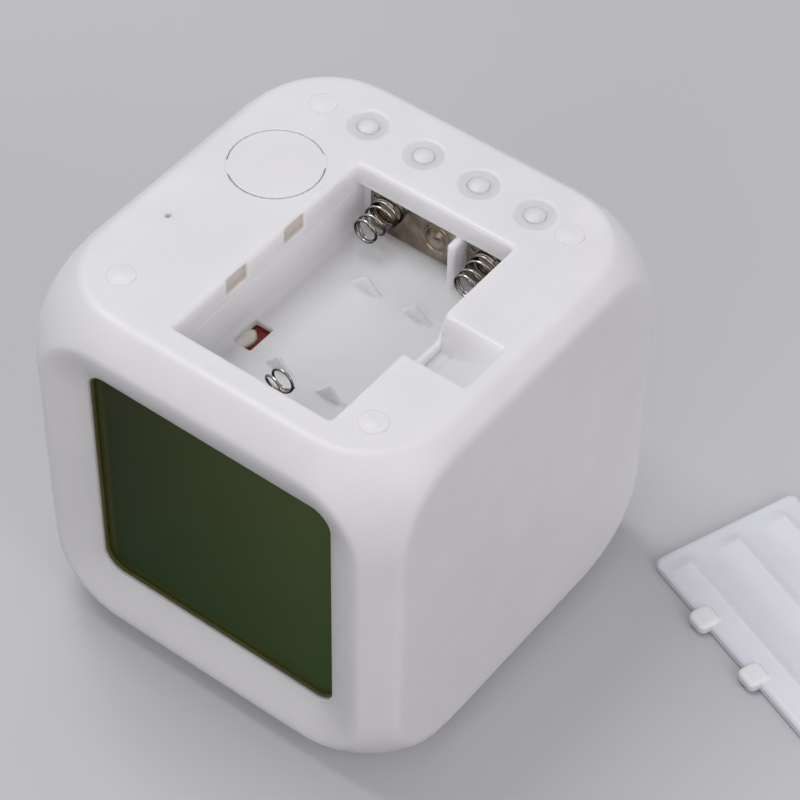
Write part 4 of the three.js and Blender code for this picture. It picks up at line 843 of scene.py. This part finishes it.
def grow(name, points, edges, group, values):
    """A piece grown by a geometry group on a set of points or paths, as a plain mesh."""
    mesh = bpy.data.meshes.new(name)
    mesh.from_pydata((np.asarray(points, float) * MM).tolist(), [list(map(int, e)) for e in edges], [])
    piece = add_object(name, mesh)
    modifier = piece.modifiers.new(name, "NODES")
    modifier.node_group = group
    for item in group.interface.items_tree:
        if item.in_out == "INPUT" and item.name in values:
            modifier[item.identifier] = values[item.name]
    graph = bpy.context.evaluated_depsgraph_get()
    made = bpy.data.meshes.new_from_object(piece.evaluated_get(graph), depsgraph=graph)
    piece.modifiers.clear()
    piece.data = made
    return piece


def wire_group(material):
    """Round wire drawn along a path."""
    inputs = [("Wire radius", "NodeSocketFloat"), ("Sides", "NodeSocketInt")]
    group, given = start_group("wire_along_path", inputs)
    path = add(group, "GeometryNodeMeshToCurve", {"Mesh": given["Geometry"]})
    circle = add(group, "GeometryNodeCurvePrimitiveCircle", {
        "Resolution": given["Sides"], "Radius": given["Wire radius"],
    })
    wire = add(group, "GeometryNodeCurveToMesh", {
        "Curve": path.outputs["Curve"], "Profile Curve": circle.outputs["Curve"], "Fill Caps": True,
    })
    smooth = add(group, "GeometryNodeSetShadeSmooth", {"Geometry": wire.outputs["Mesh"]})
    end_group(group, smooth.outputs["Geometry"], material)
    return group


def spots_group(model, material):
    """A copy of one model on every point."""
    group, given = start_group("copies_on_points", [("Turn", "NodeSocketFloat")])
    info = add(group, "GeometryNodeObjectInfo", {"Object": model, "As Instance": True})
    spin = add(group, "ShaderNodeCombineXYZ", {"Z": given["Turn"]})
    copies = add(group, "GeometryNodeInstanceOnPoints", {
        "Points": given["Geometry"],
        "Instance": info.outputs["Geometry"],
        "Rotation": spin.outputs["Vector"],
    })
    end_group(group, copies.outputs["Instances"], material)
    return group


def build_feet(material):
    """Four low round feet of one shape, each easing into the base."""
    plug, depth = FOOT_PLUG
    profile = [(0, -depth), (plug - 0.1, -depth), (plug, 0.1 - depth), (plug, -0.3)]
    profile.append((FOOT_RADIUS - 0.05, -0.2))
    for t in np.linspace(0, 1, 18):
        crown = FOOT_HEIGHT * math.sin(t * math.pi / 2) ** 2
        profile.append((FOOT_RADIUS * (1 - t), crown - FOOT_SINK))
    model = turned("foot_shape", (0, 0), 0, profile, 72, material)
    spots = [(*spot, HEIGHT) for spot in FOOT_SPOTS]
    feet = grow("base_feet", spots, [], spots_group(model, material), {"Turn": 0.0})
    bpy.data.objects.remove(model)
    return feet


def spring_path(x, y, toward, length):
    """A cone spring: close turns on the plate, open turns, then a closed ring at the tip."""
    turns = sum(SPRING_TURNS)
    t = np.linspace(0, turns, int(turns * SPRING_STEPS))
    first, last = SPRING_TURNS[0], SPRING_TURNS[0] + SPRING_TURNS[1]
    closed = 2 * SPRING_WIRE * 1.04
    rises = [SPRING_WIRE, SPRING_WIRE + first * closed, length - SPRING_TIP_PITCH, length]
    along = np.interp(t, [0, first, last, turns], rises)
    kernel = np.ones(SPRING_SMOOTHING) / SPRING_SMOOTHING
    along = np.convolve(np.pad(along, SPRING_SMOOTHING // 2, mode="edge"), kernel, "valid")
    radii = [SPRING_BASE, SPRING_BASE, SPRING_TIP, SPRING_TIP]
    radius = np.interp(t, [0, first * 0.8, turns - 0.9, turns], radii)
    angle = t * 2 * math.pi + SPRING_START_ANGLE
    across, rise = radius * np.cos(angle), radius * np.sin(angle)
    return np.column_stack([x + across, y + toward * along, CELL_Z + rise])


def build_springs(material):
    points, edges = [], []
    rear = [(x, REAR_FACE, -1, REAR_SPRING) for x in (LANE_X[0], LANE_X[2])]
    for place in [*rear, (LANE_X[1], FRONT_FACE, 1, FRONT_SPRING)]:
        path = spring_path(*place)
        edges += [(len(points) + k, len(points) + k + 1) for k in range(len(path) - 1)]
        points += path.tolist()
    values = {"Wire radius": SPRING_WIRE * MM, "Sides": 12}
    springs = grow("battery_springs", points, edges, wire_group(material), values)
    rise = np.empty(len(springs.data.vertices) * 3)
    springs.data.vertex_normals.foreach_get("vector", rise)
    # painted shade: a mark that rises where the wire faces downwards, so the material darkens its underside
    paint(springs, "under", 1.1 - 1.3 * rise[2::3])
    return springs


def build_plate(node, material):
    """A stamped contact: rounded corners, a pressed button with its ring and a punched locating hole."""
    low, high = (np.array(c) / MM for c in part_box(node))
    rear = "rear" in node
    face, toward = (REAR_FACE, -1) if rear else (FRONT_FACE, 1)
    mid_x, half_x = (low[0] + high[0]) / 2, (high[0] - low[0]) / 2
    hole = (low[0] + 1.3 if rear else high[0] - 1.3, PLATE_MID_Z + 3.0)

    def field(x, y, z):
        ahead = (y - face) * toward
        outline = rounded_rect(x - mid_x, z - PLATE_MID_Z, half_x, PLATE_HALF_Z, 0.6)
        sheet = np.maximum(outline, np.maximum(ahead, -PLATE_THICK - ahead))
        for spot in PLATE_DOMES[node]:
            reach = np.hypot(x - spot, z - CELL_Z)
            ball = np.hypot(reach, ahead + BUTTON_SINK) - BUTTON_RADIUS
            button = np.maximum(ball, -0.3 - ahead)
            sheet = soft_min(sheet, button, NARROW_FILLET)
            groove = np.hypot(reach - BUTTON_GROOVE[0], ahead - 0.02) - BUTTON_GROOVE[1]
            sheet = soft_max(sheet, -groove, 0.15)
        return soft_max(sheet, -rod(x, z, hole, PLATE_HOLE_RADIUS), 0.15)

    ys = (face - 1.4, face + 0.8) if rear else (face - 0.8, face + 1.4)
    field_low = (low[0] - 0.4, ys[0], PLATE_MID_Z - PLATE_HALF_Z - 0.4)
    field_high = (high[0] + 0.4, ys[1], PLATE_MID_Z + PLATE_HALF_Z + 0.4)
    points, quads = zero_surface(field, field_low, field_high, PLATE_CELL)
    piece = make_piece("stamped_" + node, points, quads, material)
    thin_flats(piece, 0.5)
    set_normals(piece, field)
    return piece


def build_bead(material):
    """Hot glue over the wire ends: a lumpy low dome seen through the opening in the compartment floor."""
    low, high = (np.array(c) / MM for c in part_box("wire_glue"))
    skin = Skin()
    sides, levels = 56, 14
    angles = np.arange(sides) * 2 * math.pi / sides
    middle = ((low[0] + high[0]) / 2 + BEAD_SHIFT[0], (low[1] + high[1]) / 2 + BEAD_SHIFT[1])
    rings = [np.tile([*middle, low[2]], (sides, 1))]
    for t in np.linspace(0, math.pi / 2, levels):
        lump = 1 + 0.07 * np.sin(3 * angles + 0.6) + 0.04 * np.sin(5 * angles + 2 * t)
        reach_x = BEAD_GROW[0] * (high[0] - low[0]) / 2 * math.cos(t) * lump
        reach_y = BEAD_GROW[1] * (high[1] - low[1]) / 2 * math.cos(t) * lump
        level = np.full(sides, low[2] + (high[2] - low[2]) * math.sin(t))
        x, y = middle[0] + reach_x * np.cos(angles), middle[1] + reach_y * np.sin(angles)
        rings.append(np.column_stack([x, y, level]))
    skin.rings(rings, flip=True)
    return make_piece("glue_bead", skin.points, skin.faces, material)


# Materials

# Painted shade for the back walls of the notches
NOTCH_SHADE_TONE = "#D9CFC3"
# Painted shade for the undersides of the spring wire
UNDERSIDE_SHADE_TONE = "#2B2620"


def colour(code):
    """An sRGB hex code as a linear colour."""
    parts = [int(code[k:k + 2], 16) / 255 for k in (1, 3, 5)]
    return tuple(c / 12.92 if c <= 0.04045 else ((c + 0.055) / 1.055) ** 2.4 for c in parts) + (1.0,)


def add(tree, kind, inputs=None, **settings):
    """One node with its settings, values and links."""
    made = tree.nodes.new(kind)
    for name, value in settings.items():
        setattr(made, name, value)
    for name, value in (inputs or {}).items():
        socket = made.inputs[name]
        if isinstance(value, bpy.types.NodeSocket):
            tree.links.new(value, socket)
        else:
            socket.default_value = value
    return made


def start_material(name):
    material = bpy.data.materials.new(name)
    material.use_nodes = True
    tree = material.node_tree
    tree.nodes.clear()
    place = add(tree, "ShaderNodeTexCoord").outputs["Object"]
    return material, tree, place


def end_material(material, **sockets):
    inputs = {name.replace("_", " "): value for name, value in sockets.items()}
    shader = add(material.node_tree, "ShaderNodeBsdfPrincipled", inputs)
    add(material.node_tree, "ShaderNodeOutputMaterial", {"Surface": shader.outputs["BSDF"]})
    return material


def mix(tree, factor, first, second):
    inputs = {"Factor": factor, 6: first, 7: second}
    return add(tree, "ShaderNodeMix", inputs, data_type="RGBA").outputs[2]


def calc(tree, operation, first, second):
    return add(tree, "ShaderNodeMath", {0: first, 1: second}, operation=operation).outputs[0]


def painted(tree, name):
    return add(tree, "ShaderNodeAttribute", attribute_name=name).outputs["Fac"]


def part_way(tree, value, first, last):
    """How far a place lies from first to last, both in millimetres."""
    inputs = {"Value": value, "From Min": first * MM, "From Max": last * MM}
    return add(tree, "ShaderNodeMapRange", inputs).outputs["Result"]


def cloud(tree, place, size, detail):
    """Noise with patches of this size in millimetres."""
    inputs = {"Vector": place, "Scale": 1000.0 / size, "Detail": detail}
    return add(tree, "ShaderNodeTexNoise", inputs).outputs["Fac"]


def tone(tree, place, size, low, high, detail=3.0):
    """A cloudy mix of two colours."""
    ramp = add(tree, "ShaderNodeValToRGB", {"Fac": cloud(tree, place, size, detail)})
    for element, at, code in zip(ramp.color_ramp.elements, (0.35, 0.65), (low, high)):
        element.position = at
        element.color = colour(code)
    return ramp.outputs["Color"]


def between(tree, place, size, low, high):
    """A cloudy number between low and high."""
    inputs = {"Value": cloud(tree, place, size, 3.0), "From Min": 0.3, "From Max": 0.7}
    inputs |= {"To Min": low, "To Max": high}
    return add(tree, "ShaderNodeMapRange", inputs).outputs["Result"]


def bumps(tree, place, size, depth, strength):
    """Fine relief of this grain size and depth in millimetres."""
    return add(tree, "ShaderNodeBump", {
        "Height": cloud(tree, place, size, 2.0), "Distance": depth * MM, "Strength": strength,
    }).outputs["Normal"]


def milky_plastic(name, shade, light, painted_shade_tone, rough, scatter):
    """Moulded translucent ABS: light sinks in a few millimetres, so edges glow and shadows go soft."""
    material, tree, place = start_material(name)
    # painted shade: the floors of the key rings, marked by a painted attribute, turn to a greyer tone
    skin_tone = mix(tree, painted(tree, "painted_ring_shade"), tone(tree, place, 16, shade, light), colour(painted_shade_tone))
    # painted shade: the back walls of the notches turn to a darker, warmer tone
    skin_tone = mix(tree, painted(tree, "painted_notch_shade"), skin_tone, colour(NOTCH_SHADE_TONE))
    depth = add(tree, "ShaderNodeMapRange", {
        "Value": painted(tree, "solid"), "To Min": scatter, "To Max": 0.0,
    })
    return end_material(
        material,
        Base_Color=skin_tone,
        Roughness=between(tree, place, 7, rough - 0.05, rough + 0.05),
        IOR=1.5,
        Subsurface_Weight=depth.outputs["Result"],
        Subsurface_Radius=(1.0, 0.92, 0.96),
        Subsurface_Scale=3.2 * MM,
        Normal=bumps(tree, place, 0.7, 0.02, 0.12),
    )


def plated_metal(name, shade, light, rough):
    """Nickel plated spring steel with fine rolling lines and faint stains of a warmer tone, and painted
    shade on the undersides of the wire.
    """
    material, tree, place = start_material(name)
    stretch = add(tree, "ShaderNodeMapping", {"Vector": place, "Scale": (1.0, 1.0, 9.0)})
    stains = tone(tree, place, 3.5, shade, light, 4.0)
    return end_material(
        material,
        # painted shade: the undersides of the spring wire are mixed towards a dark tone
        Base_Color=mix(tree, painted(tree, "under"), stains, colour(UNDERSIDE_SHADE_TONE)),
        Metallic=1.0,
        Roughness=between(tree, place, 1.6, rough - 0.06, rough + 0.08),
        Normal=bumps(tree, stretch.outputs["Vector"], 0.6, 0.03, 0.18),
    )


def plain(name, shade, light, rough, size=4.0, grain=0.5, metallic=0.0):
    """A moulded or coated surface with a little mottling and a fine grain."""
    material, tree, place = start_material(name)
    return end_material(
        material,
        Base_Color=tone(tree, place, size, shade, light),
        Metallic=metallic,
        Roughness=between(tree, place, size * 0.6, rough - 0.06, rough + 0.06),
        Normal=bumps(tree, place, grain, 0.03, 0.25),
    )


def display_glass():
    """A dark olive liquid crystal panel, browner at the top left and greener below, with a paler band along
    the left and lower edges: a painted reflection of the frame's inner wall in the glass."""
    material, tree, place = start_material("polarised_display_glass")
    split = add(tree, "ShaderNodeSeparateXYZ", {"Vector": place}).outputs
    across = part_way(tree, split["X"], -PANEL_HALF, PANEL_HALF)
    rise = part_way(tree, split["Z"], DISPLAY_Z - PANEL_HALF, DISPLAY_Z + PANEL_HALF)
    low_tone = mix(tree, across, colour("#1A3009"), colour("#364D24"))
    high_tone = mix(tree, across, colour("#292C0B"), colour("#4C5A31"))
    # painted reflection: a paler band along the left and lower edges
    left = part_way(tree, split["X"], *REFLECTION_BAND_LEFT)
    lower = part_way(tree, split["Z"], *REFLECTION_BAND_LOW)
    painted_reflection = calc(tree, "MULTIPLY", calc(tree, "MAXIMUM", left, lower), 0.55)
    return end_material(
        material,
        Base_Color=mix(tree, painted_reflection, mix(tree, rise, low_tone, high_tone), colour("#4A4A22")),
        Roughness=between(tree, place, 9, 0.3, 0.38),
        Specular_IOR_Level=0.06,
        Normal=bumps(tree, place, 0.25, 0.01, 0.1),
    )


case_plastic = milky_plastic("moulded_translucent_ABS", "#EAE9ED", "#EEEDF1", "#E3E2E8", 0.4, 0.75)
# painted shade: the door is a darker, bluer copy of the case plastic, standing in for less light coming
# back through the lid
door_plastic = milky_plastic("moulded_translucent_ABS_door_painted_shade", "#E2E3EC", "#E7E8EF", "#DEDEE7", 0.38, 0.15)
# painted light: the hook tabs are a lighter copy of the door plastic, for their thicker plastic looking
# brighter
painted_light_tab_plastic = milky_plastic("moulded_thick_ABS_hook_tab_painted_light", "#F2F2F4", "#F5F5F7", "#DEDEE7", 0.38, 0.15)
key_plastic = milky_plastic("moulded_key_ABS", "#E5E4E8", "#E9E8EC", "#D3D2D8", 0.38, 0.6)
foot_plastic = milky_plastic("cast_silicone_foot", "#EBEAEE", "#EEEDF1", "#D3D2D8", 0.42, 0.0)
nickel_plate = plated_metal("nickel_plated_contact", "#7D7062", "#AEA394", 0.15)
nickel_wire = plated_metal("nickel_plated_spring_wire", "#C9C3B9", "#E6E1D8", 0.13)
zinc_screw = plain("zinc_plated_screw", "#9C9CA0", "#B7B7BB", 0.3, 1.5, 0.3, 1.0)
olive_glass = display_glass()
red_laminate = plain("phenolic_board", "#8A2D1B", "#9F3C26", 0.42, 1.2, 0.25)
glue = plain("hot_melt_glue", "#DDD9CB", "#EAE7DC", 0.35, 2.0, 0.8)
black_moulding = plain("black_nylon", "#1B1B1E", "#2A2A2E", 0.5)
ribbon_sleeve = plain("grey_ribbon_sleeve", "#BDBDC1", "#D0D0D4", 0.55, 1.0, 0.4)
NODE_FINISH = {
    "lcd_gasket": plain("amber_gasket_film", "#58552F", "#635F37", 0.5),
    "light_sheet": plain("white_diffuser_film", "#E4E4E0", "#EFEFEB", 0.6),
    "zebra_strip": plain("conductive_rubber", "#2C2C30", "#3A3A3F", 0.75),
    "lcd_holder": plain("moulded_holder_ABS", "#DADADC", "#E6E6E8", 0.5),
    "chip_blob": plain("potting_resin", "#131316", "#1E1E22", 0.32),
    "crystal": plain("drawn_steel_can", "#ADADB2", "#C4C4C8", 0.25, 2.0, 0.4, 1.0),
    "sounder": black_moulding,
    "red_lead": plain("red_wire_sleeve", "#A32520", "#B83029", 0.45),
    "black_lead": plain("black_wire_sleeve", "#18181B", "#26262A", 0.45),
    "lamp_red": plain("red_lamp_resin", "#C8483F", "#DB6257", 0.18),
    "lamp_green": plain("green_lamp_resin", "#4CA354", "#66BB6C", 0.18),
    "lamp_blue": plain("blue_lamp_resin", "#4462C4", "#5F7EDB", 0.18),
}
# The other nodes by a word in their names, screws first because some name their board as well
KIND_FINISH = {
    "screw": zinc_screw,
    "switch": black_moulding,
    "board": red_laminate,
    "glass": olive_glass,
    "ribbon": ribbon_sleeve,
}

for node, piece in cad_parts.items():
    kinds = [finish for kind, finish in KIND_FINISH.items() if kind in node]
    piece.data.materials.clear()
    piece.data.materials.append(NODE_FINISH.get(node, kinds[0] if kinds else case_plastic))

# Camera at the photograph's viewing angle, for a square frame
PHOTO_PIXELS = 800
FOCAL_PIXELS = 2958.9
SENSOR = 36.0
CAMERA_SPOT = Vector((219.46, -277.69, 433.63)) * MM
CAMERA_RIGHT = Vector((0.79297, 0.60915, 0.01137)).normalized()
CAMERA_BACK = Vector((0.4026, -0.53791, 0.74065)).normalized()
camera_data = bpy.data.cameras.new("camera")
camera_data.sensor_width = SENSOR
camera_data.lens = FOCAL_PIXELS / PHOTO_PIXELS * SENSOR
camera_data.clip_start = 0.02
camera = add_object("camera", camera_data)
camera_up = CAMERA_BACK.cross(CAMERA_RIGHT).normalized()
turn = Matrix((CAMERA_RIGHT, camera_up, CAMERA_BACK)).transposed().to_4x4()
camera.matrix_world = Matrix.Translation(CAMERA_SPOT) @ turn
bpy.context.scene.camera = camera

# Pieces
dress(build_case(case_plastic), "case", "case_plastic", "shell")
dress(build_cover(case_plastic), "case", "case_plastic", "base_cover")
dress(build_door(door_plastic, painted_light_tab_plastic), "battery_door", "door_plastic", "battery_door")
dress(build_disc(case_plastic), "light_disc", "case_plastic", "light_disc")
for node in KEY_NODES:
    dress(build_key(node, key_plastic), node, "key_plastic", node)
dress(build_feet(foot_plastic), "case", "foot_rubber", *FOOT_NODES)
springs = ("rear_bridge_spring", "rear_terminal_spring", "front_bridge_spring")
dress(build_springs(nickel_wire), "case", "spring_nickel", *springs)
for node in PLATE_DOMES:
    dress(build_plate(node, nickel_plate), "case", "contact_nickel", node)
dress(build_bead(glue), "case", "hot_glue", "wire_glue")

# Pale floor and soft studio light
floor_mesh = bpy.data.meshes.new("floor")
floor_mesh.from_pydata([(-6, -6, 0), (6, -6, 0), (6, 6, 0), (-6, 6, 0)], [], [(0, 1, 2, 3)])
floor = add_object("floor", floor_mesh)
floor_finish, floor_tree, floor_place = start_material("pale_floor")
# The eye, metal and glass see a pale floor; the light that it throws back up is that of a darker table
ray = add(floor_tree, "ShaderNodeLightPath").outputs
seen = calc(floor_tree, "MAXIMUM", ray["Is Camera Ray"], ray["Is Glossy Ray"])
seen = calc(floor_tree, "MAXIMUM", seen, ray["Is Transmission Ray"])
pale = tone(floor_tree, floor_place, 400, "#CBCCCF", "#CFD0D3")
end_material(floor_finish, Base_Color=mix(floor_tree, seen, colour("#606165"), pale), Roughness=0.55)
floor_mesh.materials.append(floor_finish)


LAMP_AIM = (0, 0, 0.04)


def softbox(name, place, size, power, shade):
    data = bpy.data.lights.new(name, "AREA")
    data.shape = "RECTANGLE"
    data.size, data.size_y = size
    data.energy = power
    data.color = colour(shade)[:3]
    lamp = add_object(name, data)
    look = Vector(LAMP_AIM) - Vector(place)
    lamp.matrix_world = Matrix.Translation(place) @ look.to_track_quat("-Z", "Y").to_matrix().to_4x4()


softbox("overhead_softbox", (-0.4, 0.05, 1.0), (0.5, 0.5), 3.9, "#FDFEFF")
softbox("right_softbox", (0.9, -0.2, 0.5), (0.6, 0.6), 2.5, "#FFF8F9")
softbox("front_fill", (0.2, -0.9, 0.55), (0.6, 0.6), 1.3, "#FFFAFA")

# The sky is a ring of pale walls with a dimmer ceiling
HORIZON = (0.77, 0.755, 0.765, 1)
ZENITH = (0.225, 0.225, 0.23, 1)
world = bpy.data.worlds.new("studio")
bpy.context.scene.world = world
world.use_nodes = True
sky_tree = world.node_tree
sky_tree.nodes.clear()
toward = add(sky_tree, "ShaderNodeTexCoord").outputs["Generated"]
climb = add(sky_tree, "ShaderNodeSeparateXYZ", {"Vector": toward}).outputs["Z"]
dome = add(sky_tree, "ShaderNodeValToRGB", {"Fac": climb})
dome.color_ramp.elements[0].color = HORIZON
dome.color_ramp.elements[1].color = ZENITH
sky = add(sky_tree, "ShaderNodeBackground", {"Color": dome.outputs["Color"]})
add(sky_tree, "ShaderNodeOutputWorld", {"Surface": sky.outputs["Background"]})

bpy.context.scene.view_settings.view_transform = "Standard"
